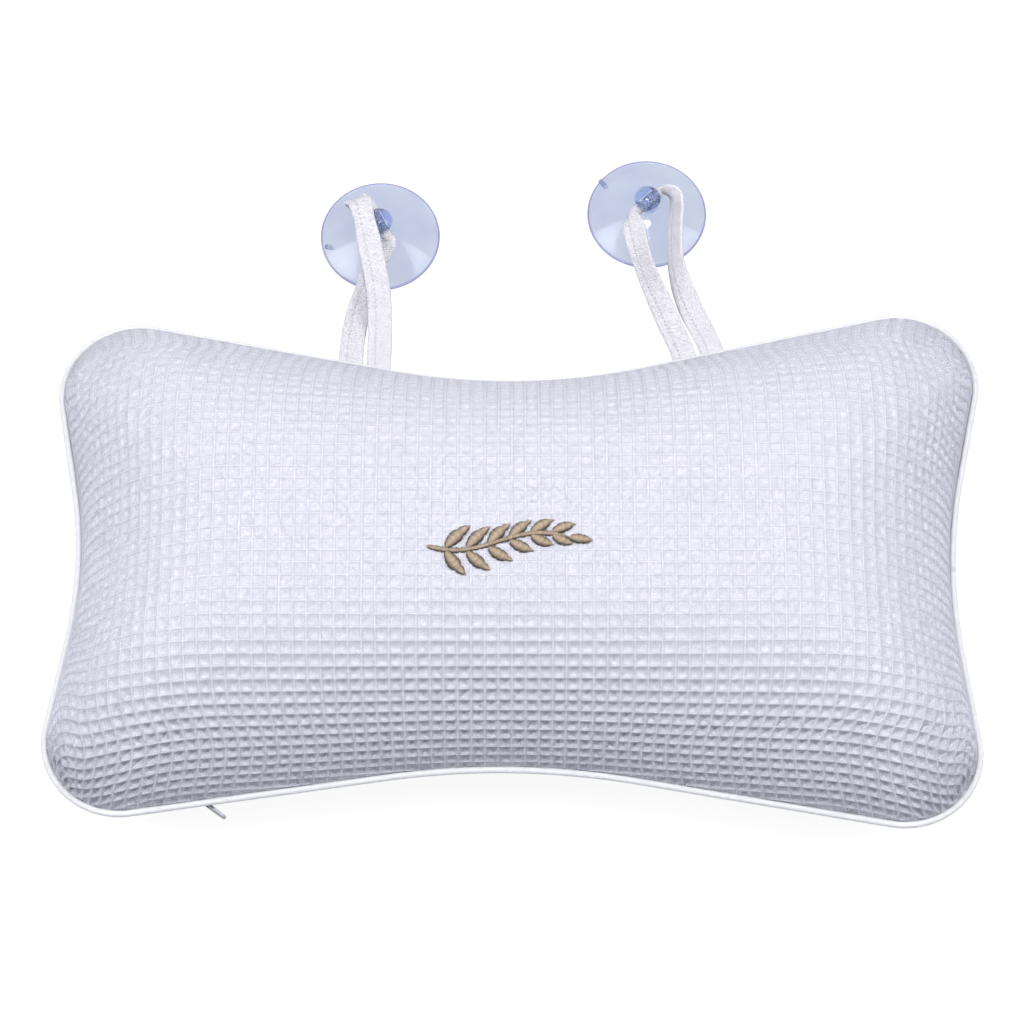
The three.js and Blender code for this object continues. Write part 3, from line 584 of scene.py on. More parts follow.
strap = dict(width=10.0, thick=1.6, tail=6.0, pitch=11.4, height=33.45, gather=2.21, sections=300,
             stitchAt=-1.7, groove=0.3, grooveWide=0.4, gatherFrom=5.5, gatherOver=8.5, curl=0.15,
             clear=0.3, slack=0.4)
cup = dict(diameter=50.0, hollow=6.0, rim=0.9, lip=2.4, shoulder=8.6, discPower=1.3, neck=9.2, neckLength=5.8,
           fillet=1.2, head=11.0, headHeight=4.4, hole=5.2, nub=2.0, nubLength=5.6, nubLean=50,
           steps=112, holeSteps=40, sharp=40)
holeHeight = cup["shoulder"] + cup["neckLength"] / 2
headBase = cup["shoulder"] + cup["neckLength"]
cups = {"left": dict(x=-55.2, y=164.2, hole=-62.0, nub=198.0),
        "right": dict(x=56.6, y=174.6, hole=41.0, nub=146.0)}
topSide = (seamNormal[:, 1] > 0.5) & (np.abs(seamPoint[:, 0]) < 140)


# height in plan of the top seam at x, read between its points
def topEdge(x):
    order = np.argsort(seamPoint[topSide, 0])
    return float(np.interp(x, seamPoint[topSide, 0][order], seamPoint[topSide, 1][order]))


# centripetal Catmull-Rom curve through the points, at even shares from 0 to 1
def through(points, count):
    p = np.concatenate([[2 * points[0] - points[1]], points, [2 * points[-1] - points[-2]]])
    t = np.linspace(0, len(points) - 1, count)
    i = np.minimum(t.astype(int), len(points) - 2)
    w = (t - i)[:, None]
    x0, x1, x2, x3 = p[i], p[i + 1], p[i + 2], p[i + 3]
    d0, d1, d2 = [np.maximum(np.linalg.norm(b - a, axis=1, keepdims=True), 1e-4) ** 0.5
                  for a, b in ((x0, x1), (x1, x2), (x2, x3))]
    m1 = ((x1 - x0) / d0 - (x2 - x0) / (d0 + d1) + (x2 - x1) / d1) * d1
    m2 = ((x2 - x1) / d1 - (x3 - x1) / (d1 + d2) + (x3 - x2) / d2) * d1
    return x1 + m1 * w + (-3 * x1 + 3 * x2 - 2 * m1 - m2) * w ** 2 + (2 * x1 - 2 * x2 + m1 + m2) * w ** 3


# section of the tape, x across and y through: flat faces with a stitched groove and rounded folds, and
# beside it the round bundle that it gathers into, at the same share of the way round
def tapeSection():
    half, thick = strap["width"] / 2, strap["thick"] / 2
    face = np.linspace(-half + thick, half - thick, 15)
    dip = strap["groove"] * np.exp(-((face - strap["stitchAt"]) / strap["grooveWide"]) ** 2)
    arc = np.linspace(-math.pi / 2, math.pi / 2, 7)[1:-1]
    edge = np.stack([half - thick + thick * np.cos(arc), thick * np.sin(arc)], 1)
    flat = np.concatenate([np.stack([face, -thick + dip], 1), edge,
                           np.stack([face, thick - dip], 1)[::-1], -edge])
    run = runAlong(np.concatenate([flat, flat[:1]]))
    angle = 2 * math.pi * run[:-1] / run[-1] + math.atan2(flat[0, 1], flat[0, 0])
    return flat, strap["gather"] * np.stack([np.cos(angle), np.sin(angle)], 1)


# tape along a route of points and across-directions: its section changes to the bundle near the cup's
# hole by 1 - t^2 (3 - 2 t), and cups a little between its folds where nothing holds it flat
def tapeStrap(name, route, place):
    flat, bundle = tapeSection()
    route = np.array(route, float)
    path = through(route[:, :3], strap["sections"])
    tangent = unit(np.gradient(path, axis=0))
    across = through(route[:, 3:], strap["sections"])
    side = unit(across - tangent * (across * tangent).sum(1, keepdims=True))
    face = np.cross(tangent, side)
    middle = np.array([place["x"], place["y"], holeHeight])
    t = np.clip((np.linalg.norm(path - middle, axis=1) - strap["gatherFrom"]) / strap["gatherOver"], 0, 1)
    gather = 1 - t * t * (3 - 2 * t)
    section = flat[None] + (bundle - flat)[None] * gather[:, None, None]
    curl = strap["curl"] * (1 - gather[:, None]) * np.cos(section[..., 0] / strap["width"] * math.pi)
    raised = section[..., 1:] + curl[..., None]
    verts = path[:, None] + side[:, None] * section[..., :1] + face[:, None] * raised
    n, m = verts.shape[:2]
    length = runAlong(path)
    uv = np.stack([np.broadcast_to(length[:, None], (n, m)), section[..., 0]], 2)
    obj = meshPiece(name, verts.reshape(-1, 3), tubeFaces(n, m), uv.reshape(-1, 2))
    recalculated(obj)
    return obj, float(length[-1])


# first two route points of a tape end, flat at x: inside the seam and just outside it
def sewnEnd(x):
    edge = topEdge(x)
    return [[x, edge - strap["tail"], strap["height"], 1, 0, 0], [x, edge + 3, strap["height"], 1, 0, 0]]


# plan place on the axis of a cup's cross-hole, reach from the cup's middle
def inHole(side, reach):
    c = cups[side]
    a = math.radians(c["hole"])
    return [c["x"] + reach * math.cos(a), c["y"] + reach * math.sin(a)]


# route points: x, y, z and the direction across the tape
overHead = headBase + cup["headHeight"] + strap["clear"] + strap["thick"] / 2 + strap["slack"]
lx, ly = cups["left"]["x"], cups["left"]["y"]
rx, ry = cups["right"]["x"], cups["right"]["y"]
(leftX, rightX), apart = opening["strapX"], strap["pitch"] / 2
leftRoute = (sewnEnd(leftX + apart)
             + [[lx + 1.1, ly - 56, 27, 1, 0.05, 0], [lx - 0.1, ly - 34, 21.5, 1, 0.1, 0],
                [lx - 3.9, ly - 13, overHead, 0.97, 0.2, 0], [lx - 8.1, ly + 6, overHead, 0.94, 0.33, 0],
                [lx - 10, ly + 9.3, 15.4, 0.94, 0.33, 0], inHole("left", -8.4) + [11.9, 0.7, 0.7, 0.2],
                inHole("left", -4) + [holeHeight, 0.5, 0.7, 0.5],
                inHole("left", 4) + [holeHeight, 0.5, 0.7, 0.5],
                inHole("left", 8.4) + [11.2, 0.7, 0.7, 0.3], [lx - 1, ly - 15, 9.8, 0.9, 0.1, 0.1],
                [lx - 4.6, ly - 28, 11, 1, -0.1, 0], [lx - 7.6, ly - 40, 15.6, 1, -0.1, 0],
                [lx - 9.8, ly - 58, 26, 1, 0, 0]]
             + sewnEnd(leftX - apart)[::-1])
rightRoute = (sewnEnd(rightX - apart)
              + [[rx + 7.1, ry - 59, 24, 0.95, 0.2, 0.2], [rx - 1.4, ry - 32, 15.5, 0.7, 0.2, 0.7],
                 [rx - 5.9, ry - 13, 14, 0.92, -0.1, 0.4], inHole("right", -8) + [12, 0.2, -0.5, 0.8],
                 inHole("right", -4) + [holeHeight, 0, 0, 1], inHole("right", 4) + [holeHeight, 0, 0, 1],
                 inHole("right", 8.5) + [12.2, 0.2, -0.2, 0.95], [rx + 11.6, ry + 2, 13.6, 0.5, 0, 0.87],
                 [rx + 11.4, ry - 15, 13.4, 0.55, 0, 0.83], [rx + 11.6, ry - 31, 15.4, 0.6, 0, 0.8],
                 [rx + 16, ry - 51.5, 22, 0.9, 0.1, 0.35]]
              + sewnEnd(rightX + apart)[::-1])
leftTape, leftLength = tapeStrap("left_tape", leftRoute, cups["left"])
rightTape, rightLength = tapeStrap("right_tape", rightRoute, cups["right"])
print("straps", round(leftLength), round(rightLength), "mm of tape")


# top of a cup's disc: rim + (shoulder - rim) (1 - share^discPower), share 0 at the neck and 1 at the lip
def discTop(share):
    return cup["rim"] + (cup["shoulder"] - cup["rim"]) * (1 - share ** cup["discPower"])


# cup profile, radius and height: hollow * (1 - k^2) out to the lip, up the disc, a fillet to the neck, and
# the head's dome
def cupProfile():
    r, neck, head, bend = cup["diameter"] / 2, cup["neck"] / 2, cup["head"] / 2, cup["fillet"]
    k = np.linspace(0, 1, 26)
    inner = np.stack([(r - cup["lip"]) * k, cup["hollow"] * (1 - k ** 2)], 1)
    lip = np.array([[r - 0.4, 0.0], [r - 0.1, 0.1], [r, 0.45]])
    disc = np.linspace(1, 0, 30)[1:]
    top = np.stack([neck + (r - neck) * disc, discTop(disc)], 1)
    top = np.concatenate([[[r - 0.12, cup["rim"] - 0.12]], top[:-2]])
    a, b = np.linspace(0, math.pi / 2, 6), np.linspace(0, math.pi / 2, 16)
    fillet = np.stack([neck + bend * (1 - np.sin(a)), cup["shoulder"] + bend * (1 - np.cos(a)) - 0.25], 1)
    under = np.array([[neck, headBase - 0.3], [neck + 0.15, headBase], [head - 0.35, headBase + 0.25]])
    dome = np.stack([head * np.cos(b), headBase + cup["headHeight"] * (0.2 + 0.8 * np.sin(b))], 1)
    return np.concatenate([inner, lip, top, fillet, under, dome])


# a profile of radius and height turned about z, its first and last points on the axis
def latheShell(name, profile, steps):
    a = np.linspace(0, 2 * math.pi, steps, endpoint=False)
    ring = profile[1:-1]
    xyz = np.stack([ring[:, None, 0] * np.cos(a), ring[:, None, 0] * np.sin(a),
                    np.broadcast_to(ring[:, None, 1], (len(ring), steps))], 2)
    verts = np.concatenate([xyz.reshape(-1, 3), [[0, 0, profile[0, 1]], [0, 0, profile[-1, 1]]]])
    n, k = len(ring), np.arange(steps)
    after, top, tip = (k + 1) % steps, (n - 1) * steps, np.full(steps, n * steps)
    faces = gridFaces(n, steps, closeV=True).tolist()
    faces += np.stack([tip, after, k], 1).tolist() + np.stack([tip + 1, top + k, top + after], 1).tolist()
    return meshPiece(name, verts, faces)


# rod between two points, its ends rounded by quarter circles or flat: a lathe turned to the rod's axis
def rodShell(name, start, end, radius, rounded, steps=28):
    a = np.linspace(0, math.pi / 2, 6)[1:]
    length = np.linalg.norm(end - start)
    cap = np.stack([radius * np.sin(a), radius * (1 - np.cos(a))], 1) if rounded else np.array([[radius, 0.0]])
    far = np.stack([cap[:, 0], length - cap[:, 1]], 1)[::-1]
    obj = latheShell(name, np.concatenate([[[0, 0]], cap, far, [[0, length]]]), steps)
    co = vertexPlaces(obj)
    axis = (end - start) / length
    side = unit(np.cross(axis, [0.0, 0.0, 1.0] if abs(axis[2]) < 0.9 else [1.0, 0.0, 0.0]))
    turned = co[:, :1] * side + co[:, 1:2] * np.cross(axis, side) + co[:, 2:] * axis + start * 0.001
    obj.data.vertices.foreach_set("co", turned.ravel())
    recalculated(obj, weld)
    return obj


# joins or cuts a piece with a tool, which is then removed
def shaped(obj, tool, operation):
    mod = obj.modifiers.new("shape", "BOOLEAN")
    mod.object, mod.operation, mod.solver = tool, operation, "EXACT"
    dep = bpy.context.evaluated_depsgraph_get()
    mesh = bpy.data.meshes.new_from_object(obj.evaluated_get(dep))
    obj.modifiers.clear()
    obj.data = mesh
    bpy.data.objects.remove(tool, do_unlink=True)


# a cup turned from its profile, with its nub leaning out on the disc and the cross-hole through its
# neck; its uv holds the share of the radius and the height
def suctionCup(side):
    c = cups[side]
    obj = latheShell(side + "_cup", cupProfile(), cup["steps"])
    recalculated(obj, weld)
    nubPlace = cup["diameter"] / 2 - 2 * cup["lip"]
    share = (nubPlace - cup["neck"] / 2) / (cup["diameter"] / 2 - cup["neck"] / 2)
    middle = np.array([nubPlace + 0.3 * cup["nubLength"], 0, discTop(share) + 0.15 * cup["nubLength"]])
    tilt = math.radians(cup["nubLean"])
    lean = np.array([math.sin(tilt), 0, math.cos(tilt)]) * cup["nubLength"] / 2
    a = math.radians(c["nub"])
    turn = np.array([[math.cos(a), -math.sin(a), 0], [math.sin(a), math.cos(a), 0], [0, 0, 1]])
    nub = rodShell("nub", turn @ (middle - lean), turn @ (middle + lean), cup["nub"] / 2, True)
    shaped(obj, nub, "UNION")
    h = math.radians(c["hole"])
    along, centre = np.array([math.cos(h), math.sin(h), 0]) * cup["neck"], np.array([0, 0, holeHeight])
    hole = rodShell("hole", centre - along, centre + along, cup["hole"] / 2, False, cup["holeSteps"])
    shaped(obj, hole, "DIFFERENCE")
    co = vertexPlaces(obj)
    share = np.hypot(co[:, 0], co[:, 1]) / (0.0005 * cup["diameter"])
    writeUv(obj.data, "UVMap", np.column_stack([share, co[:, 2]]))
    obj.data.vertices.foreach_set("co", (co + np.array([c["x"], c["y"], 0]) * 0.001).ravel())
    obj.data.polygons.foreach_set("use_smooth", np.full(len(obj.data.polygons), True))
    obj.data.set_sharp_from_angle(angle=math.radians(cup["sharp"]))
    obj.data.update()
    return obj


leftCup, rightCup = suctionCup("left"), suctionCup("right")
print("cups", len(leftCup.data.polygons), "faces each")

zipper = dict(drop=5.0, inset=3.6, gap=1.0, coilWide=1.3, coilDeep=1.4, wire=0.24, turn=1.3,
              arc=505.55, tilt=0.0151, start=-128.6, stop=116.6, perTurn=9, sides=5)


# zip coil: a helix of nylon wire, deep * cos and wide * sin of its swing, along the zip's arc about the
# slider's own turning centre
def zipCoil(name, above):
    centre = np.array(jointNamed("zip_run")["pos_m"][:2]) * 1000
    turns = (zipper["stop"] - zipper["start"]) / zipper["turn"]
    t = np.linspace(0, 1, int(turns * zipper["perTurn"]))
    swing = 2 * math.pi * turns * t
    deep = zipper["coilDeep"] / 2 - zipper["wire"]
    wide = zipper["coilWide"] / 2 - zipper["wire"]
    place = zipper["start"] + (zipper["stop"] - zipper["start"]) * t
    along = math.pi / 2 - zipper["tilt"] - place / zipper["arc"]
    out = zipper["arc"] + zipper["inset"] + deep * np.cos(swing)
    middle = seam["height"] - zipper["drop"] + above * (zipper["gap"] + zipper["coilWide"]) / 2
    z = middle + wide * np.sin(swing)
    path = np.stack([centre[0] + out * np.cos(along), centre[1] + out * np.sin(along), z], 1)
    tangent = unit(np.gradient(path, axis=0))
    side = unit(np.cross(tangent, [0.0, 0.0, 1.0]))
    up = np.cross(side, tangent)
    a = np.linspace(0, 2 * math.pi, zipper["sides"], endpoint=False)[None, :, None]
    verts = path[:, None] + zipper["wire"] * (side[:, None] * np.cos(a) + up[:, None] * np.sin(a))
    obj = meshPiece(name, verts.reshape(-1, 3), tubeFaces(*verts.shape[:2]))
    recalculated(obj, weld)
    return obj


coilFront, coilBack = zipCoil("coil_front", 1), zipCoil("coil_back", -1)
print("zip coils")

sprig = dict(stemWidth=1.05, leafWidth=2.5, thread=0.62, raised=1.0, ragged=0.7, ring=16, step=0.11,
             slant=0.45, ridge=0.24, sink=0.5, above=0.25, halfLength=27.5, sway=3.6, bends=2.6,
             pairs=6, leanOut=58, leanLess=5, leanSway=8, upperLeaf=13.6, lowerLeaf=12.8, leafLess=0.75,
             narrower=0.035, bow=0.35, tipLength=9, tipFall=1.4, tipWidth=0.8)


# smooth top of the cover round the stitched patch: a fourth-degree surface fitted to its points
def patchSurface():
    co = vertexPlaces(front) * 1000
    near = co[(abs(co[:, 0] - patch["x"]) < patch["fitX"]) & (abs(co[:, 1] - patch["y"]) < patch["fitY"])]
    terms = [(i, j) for i in range(5) for j in range(5 - i)]

    def basis(x, y):
        a, b = (x - patch["x"]) / patch["fitScale"], (y - patch["y"]) / patch["fitScale"]
        return np.stack([a ** i * b ** j for i, j in terms], -1)
    fit = np.linalg.lstsq(basis(near[:, 0], near[:, 1]), near[:, 2], rcond=None)[0]
    return lambda x, y: basis(x, y) @ fit


# satin stitch along a line: flattened rings of half width w, raised on top, with a ridge |sin| every
# thread that slants back towards the edges, and each thread ending a little further out or in
def satinStroke(line, width, surface):
    run = runAlong(line)
    s = np.linspace(0, run[-1], int(run[-1] / sprig["step"]))
    c = np.stack([np.interp(s, run, line[:, k]) for k in (0, 1)], 1)
    w = np.interp(s, run, width)
    slim = np.minimum(1, w[:, None])
    tangent = unit(np.gradient(c, axis=0))
    normal = np.stack([-tangent[:, 1], tangent[:, 0]], 1)
    a = np.linspace(0, 2 * math.pi, sprig["ring"], endpoint=False)
    across = w[:, None] * np.cos(a)
    slant = s[:, None] + sprig["slant"] * abs(across)
    ridge = sprig["ridge"] * abs(np.sin(math.pi * slant / sprig["thread"])) * slim
    tall = np.minimum(sprig["raised"], 0.3 + 0.3 * w)[:, None]
    up = np.where(np.sin(a) > 0, (tall + ridge) * np.sin(a), sprig["sink"] * np.sin(a))
    end = np.modf(abs(np.sin(12.99 * np.floor(slant / sprig["thread"])) * 43.76))[0] - 0.5  # hash of its number
    across = across + sprig["ragged"] * end * np.cos(a) ** 3 * slim
    x = c[:, :1] + normal[:, :1] * across
    y = c[:, 1:] + normal[:, 1:] * across
    verts = np.stack([x, y, surface(x, y) + up + sprig["above"]], 2)
    uv = np.stack([slant, np.broadcast_to(a / 6.2832, slant.shape)], 2)
    return verts.reshape(-1, 3), tubeFaces(*verts.shape[:2]), uv.reshape(-1, 2)


# sprig: a stem in an even S, sway * sin(bends * t), and leaves in pairs along it, each leaf a bowed line
# with a pointed width
def stitchedSprig():
    surface = patchSurface()
    t = np.linspace(-1, 1, 60)
    sway = sprig["sway"] * np.sin(sprig["bends"] * t)
    stem = np.stack([patch["x"] + sprig["halfLength"] * t, patch["y"] + sway], 1)
    strokes = [(stem, np.interp(t, [-1, -0.9, 0.8, 1], [0.5, sprig["stemWidth"], sprig["stemWidth"], 0.35]))]
    k = np.linspace(0, 1, 40)
    pointed = np.sin(math.pi * np.clip(k, 0.015, 0.985) ** 0.8) ** 0.8
    for n, place in enumerate(np.linspace(-0.78, 0.72, sprig["pairs"])):
        root = np.array([np.interp(place, t, stem[:, 0]), np.interp(place, t, stem[:, 1])])
        for way, leaf in ((1, sprig["upperLeaf"]), (-1, sprig["lowerLeaf"])):
            out = way * (sprig["leanOut"] - sprig["leanLess"] * n)
            out += sprig["leanSway"] * math.cos(sprig["bends"] * place)
            lean = math.radians(out) - way * sprig["bow"] * k
            step = np.stack([np.cos(lean), np.sin(lean)], 1) * (leaf - sprig["leafLess"] * n) / len(k)
            line = root + np.array([1.1, way * 0.5]) + np.cumsum(step, 0)
            strokes.append((line, sprig["leafWidth"] * pointed * (1 - sprig["narrower"] * n)))
    tip = np.stack([stem[-1, 0] + sprig["tipLength"] * k, stem[-1, 1] - sprig["tipFall"] * k], 1)
    strokes.append((tip, sprig["tipWidth"] * sprig["leafWidth"] * pointed))
    verts, faces, uv, base = [], [], [], 0
    for line, width in strokes:
        v, f, w = satinStroke(line, width, surface)
        verts.append(v)
        uv.append(w)
        faces += [[i + base for i in face] for face in f]
        base += len(v)
    obj = meshPiece("stitched_sprig", np.concatenate(verts), faces, np.concatenate(uv))
    recalculated(obj, weld)
    return obj


sewn = stitchedSprig()
print("stitched sprig", len(sewn.data.polygons), "faces")


# a shader node with its inputs set, by place or by name, each to a value or linked from a socket
def addNode(tree, kind, *args, **named):
    node = tree.nodes.new("ShaderNode" + kind)
    for key, value in [*enumerate(args), *named.items()]:
        socket = node.inputs[key if isinstance(key, int) else key.replace("_", " ")]
        if isinstance(value, bpy.types.NodeSocket):
            tree.links.new(value, socket)
        else:
            socket.default_value = value
    return node


# a material with its shader and a few short ways to add nodes
class finishOf:
    def __init__(self, name, colour, rough, **sockets):
        self.material = bpy.data.materials.new(name)
        self.material.use_nodes = True
        self.tree = self.material.node_tree
        self.shader = next(n for n in self.tree.nodes if n.type == "BSDF_PRINCIPLED")
        self.shader.inputs["Base Color"].default_value = (*colour, 1)
        self.shader.inputs["Roughness"].default_value = rough
        for key, value in sockets.items():
            self.shader.inputs[key.replace("_", " ")].default_value = value
        self.where = self.tree.nodes.new("ShaderNodeTexCoord")

    def link(self, a, b):
        self.tree.links.new(a, b)

    def noise(self, scale, detail=3.0, kind="Object"):
        node = addNode(self.tree, "TexNoise", Vector=self.where.outputs[kind], Scale=scale, Detail=detail)
        return node.outputs["Fac"]

    def calc(self, operation, *values):
        node = addNode(self.tree, "Math", *values)
        node.operation = operation
        return node.outputs[0]

    def plus(self, a, b):
        return self.calc("ADD", a, b)

    def minus(self, a, b):
        return self.calc("SUBTRACT", a, b)

    def times(self, a, b):
        return self.calc("MULTIPLY", a, b)

    def apart(self, a, b):  # |a - b|
        return self.calc("ABSOLUTE", self.minus(a, b))

    def wave(self, value, perUnit):  # sin(2 pi value perUnit)
        return self.calc("SINE", self.times(value, 2 * math.pi * perUnit))

    def parts(self, kind="UV"):
        return addNode(self.tree, "SeparateXYZ", self.where.outputs[kind]).outputs

    def tones(self, fac, low, high, a=0.3, b=0.7):
        node = addNode(self.tree, "ValToRGB", fac)
        for stop, place, colour in zip(node.color_ramp.elements, (a, b), (low, high)):
            stop.position = place
            stop.color = (*colour, 1)
        self.link(node.outputs["Color"], self.shader.inputs["Base Color"])

    def roughness(self, fac, low, high):
        node = addNode(self.tree, "MapRange", Value=fac, To_Min=low, To_Max=high)
        self.link(node.outputs["Result"], self.shader.inputs["Roughness"])

    def bump(self, *heights):
        under = {}
        for height, distance in heights:
            node = addNode(self.tree, "Bump", Strength=1.0, Distance=distance, Height=height, **under)
            under = dict(Normal=node.outputs["Normal"])
        self.link(under["Normal"], self.shader.inputs["Normal"])

    def on(self, *objs):
        for obj in objs:
            obj.data.materials.clear()
            obj.data.materials.append(self.material)


cottonLook = dict(yarns=4.5, ridge=0.08, flankAt=0.1, flankSharp=20.0, flankPaintedShadow=0.6, pocketRise=4.5,
                  pocketPaintedShade=0.13, slub=2400.0, slubTone=1.35, yarnTone=0.2, level=0.105)


# waffle cotton: tone = slubs + yarns - level, less a painted shadow, a thin dark line down each flank of the
# ridges, which lie where u or v is a whole number, and less painted shade, a slightly deeper tone in the
# pockets
def coverCotton():
    k = cottonLook
    m = finishOf("waffle cotton", (0.82, 0.81, 0.89), 0.88,
                 Sheen_Weight=0.1, Sheen_Roughness=0.5, Specular_IOR_Level=0.2)
    u, v, _ = m.parts()
    yarns = m.times(m.wave(u, k["yarns"]), m.wave(v, k["yarns"]))
    edge = m.calc("MINIMUM", *[m.apart(m.calc("FRACT", m.plus(way, 0.5)), 0.5) for way in (u, v)])
    ridge = m.minus(1.0, m.times(m.calc("MINIMUM", edge, k["ridge"]), 1 / k["ridge"]))
    slub = m.noise(k["slub"], 0.5)
    # painted shade: the tone goes darker in each pocket, away from the ridges, towards the bluer low tone
    pocket = m.calc("MINIMUM", m.times(edge, k["pocketRise"]), 1.0)
    # painted shadow: a thin dark line down each flank of the ridges, where a ridge's shadow falls
    flank = m.calc("MAXIMUM", m.minus(1.0, m.times(m.apart(edge, k["flankAt"]), k["flankSharp"])), 0.0)
    grain = m.plus(m.times(slub, k["slubTone"]), m.times(yarns, k["yarnTone"]))
    shade = m.plus(m.times(flank, k["flankPaintedShadow"]), m.times(pocket, k["pocketPaintedShade"]))
    tone = m.minus(m.minus(grain, k["level"]), shade)
    m.tones(tone, (0.62, 0.616, 0.72), (0.91, 0.905, 0.965), 0.18, 0.72)
    m.bump((ridge, 0.00012), (yarns, 0.0003), (slub, 0.0002))
    return m


# satin: twill lines that slant along the strip, and slow cloudy tones
def pipingSatin():
    m = finishOf("white satin bias", (0.73, 0.73, 0.75), 0.42,
                 Sheen_Weight=0.15, Sheen_Roughness=0.3, Specular_IOR_Level=0.45)
    u, v, _ = m.parts()
    twill = m.wave(m.plus(u, m.times(v, 0.17)), 2.4)
    m.tones(m.noise(300.0), (0.675, 0.675, 0.70), (0.735, 0.735, 0.75))
    m.bump((twill, 0.00004), (m.noise(900.0), 0.00006))
    return m


tapeLook = dict(slant=0.6, ribs=1.1, laneHalf=0.34, stitch=2.4, dash=0.68, fluff=1500.0,
                holePaintedShade=0.4, lanePaintedShade=0.15)


# cotton tape: slanted ribs, fluffy yarn and a row of stitches in a sunken lane, with painted shade in the lane
# and deeper painted shade in the gaps between stitches
def strapTape():
    k = tapeLook
    m = finishOf("folded cotton tape", (0.80, 0.79, 0.84), 0.85, Sheen_Weight=0.1, Specular_IOR_Level=0.2)
    u, v, _ = m.parts()
    rib = m.wave(m.plus(u, m.times(v, k["slant"])), k["ribs"])
    lane = m.calc("LESS_THAN", m.apart(v, strap["stitchAt"]), k["laneHalf"])
    dash = m.calc("LESS_THAN", m.calc("FRACT", m.times(u, 1 / k["stitch"])), k["dash"])
    stitch = m.times(lane, dash)
    hole = m.minus(lane, stitch)
    fluff = m.noise(k["fluff"], 4.0)
    # painted shade: darker in the sunken stitch lane, darker still in the gaps between stitches
    sunkShade = m.plus(m.times(hole, k["holePaintedShade"]), m.times(lane, k["lanePaintedShade"]))
    m.tones(m.minus(fluff, sunkShade), (0.60, 0.59, 0.645), (0.80, 0.785, 0.825), 0.05, 0.68)
    m.bump((rib, 0.00014), (fluff, 0.0005), (m.times(lane, -1.0), 0.0005), (stitch, 0.0006))
    return m


vinylLook = dict(blue=(0.25, 0.45, 0.9), density=75.0, rimFrom=0.965, rimPaintedShade=0.5,
                 cloud=55.0, cloudTone=0.5, level=0.42)


# clear vinyl: pale skin with painted shade, a dark violet line at the rim (u is the share of the cup's
# radius) for the dark edge that refraction gives there, blue that deepens with thickness, and slow moulding
# waves
def clearPvc():
    k = vinylLook
    m = finishOf("clear soft vinyl", (0.62, 0.645, 0.70), 0.07,
                 IOR=1.3, Transmission_Weight=1.0, Specular_IOR_Level=0.5)
    depth = addNode(m.tree, "VolumeAbsorption", Color=(*k["blue"], 1), Density=k["density"])
    out = next(n for n in m.tree.nodes if n.type == "OUTPUT_MATERIAL")
    m.link(depth.outputs["Volume"], out.inputs["Volume"])
    # painted shade: a dark violet line at the rim, standing in for the dark edge that refraction and thickness
    # give
    rim = m.times(m.calc("GREATER_THAN", m.parts()[0], k["rimFrom"]), k["rimPaintedShade"])
    cloud = m.times(m.noise(k["cloud"], 2.0), k["cloudTone"])
    m.tones(m.minus(m.plus(cloud, k["level"]), rim), (0.36, 0.36, 0.62), (0.66, 0.70, 0.745), 0.1, 0.8)
    m.roughness(m.noise(90.0), 0.04, 0.16)
    m.bump((m.noise(45.0, 2.0), 0.0008), (m.noise(700.0), 0.00001))
    return m


# plain speckled finish: two tones by one noise, a bump by another
def speckled(name, colour, rough, grain, low, high, relief, height, **sockets):
    m = finishOf(name, colour, rough, **sockets)
    m.tones(m.noise(*grain), low, high)
    m.bump((m.noise(*relief), height))
    return m


# plain weave: sin(x) sin(y + z) yarns, and tones from 0.95 to 1.04 of the colour
def wovenPlain(name, colour, pitch, grain):
    m = finishOf(name, colour, 0.85, Sheen_Weight=0.1)
    x, y, z = m.parts("Object")
    yarns = m.times(m.wave(x, pitch), m.wave(m.plus(y, z), pitch))
    m.tones(m.noise(grain), tuple(0.95 * c for c in colour), tuple(min(1, 1.04 * c) for c in colour))
    m.bump((yarns, 0.00006), (m.noise(2200.0), 0.00006))
    return m


threadLook = dict(crest=0.35, streak=1.1, streaks=1.7, edgeShadePower=2.4)


# taupe thread: |sin| of the way round the stroke, to a power, times (crest + streak): a painted highlight along
# the crest of each thread, painted shade between threads and down at the edges, and random streaks of tone
def satinThread():
    k = threadLook
    m = finishOf("taupe thread", (0.36, 0.245, 0.145), 0.45, Sheen_Weight=0.15, Specular_IOR_Level=0.5)
    u, v, _ = m.parts()
    crest = m.calc("ABSOLUTE", m.calc("SINE", m.times(u, math.pi / sprig["thread"])))
    edge = m.calc("ABSOLUTE", m.wave(v, 1.0))
    # painted highlight along each thread's crest, darker between threads, plus random streaks of thread tone
    shade = m.plus(m.times(crest, k["crest"]), m.times(m.noise(k["streaks"], 1.0, "UV"), k["streak"]))
    # painted shade: darker down the edges of the stroke, where it turns away from the light
    shade = m.times(m.calc("POWER", edge, k["edgeShadePower"]), shade)
    m.tones(shade, (0.03, 0.022, 0.017), (0.50, 0.38, 0.26), 0.1, 0.95)
    m.bump((crest, 0.0002), (m.noise(2600.0), 0.00008))
    return m


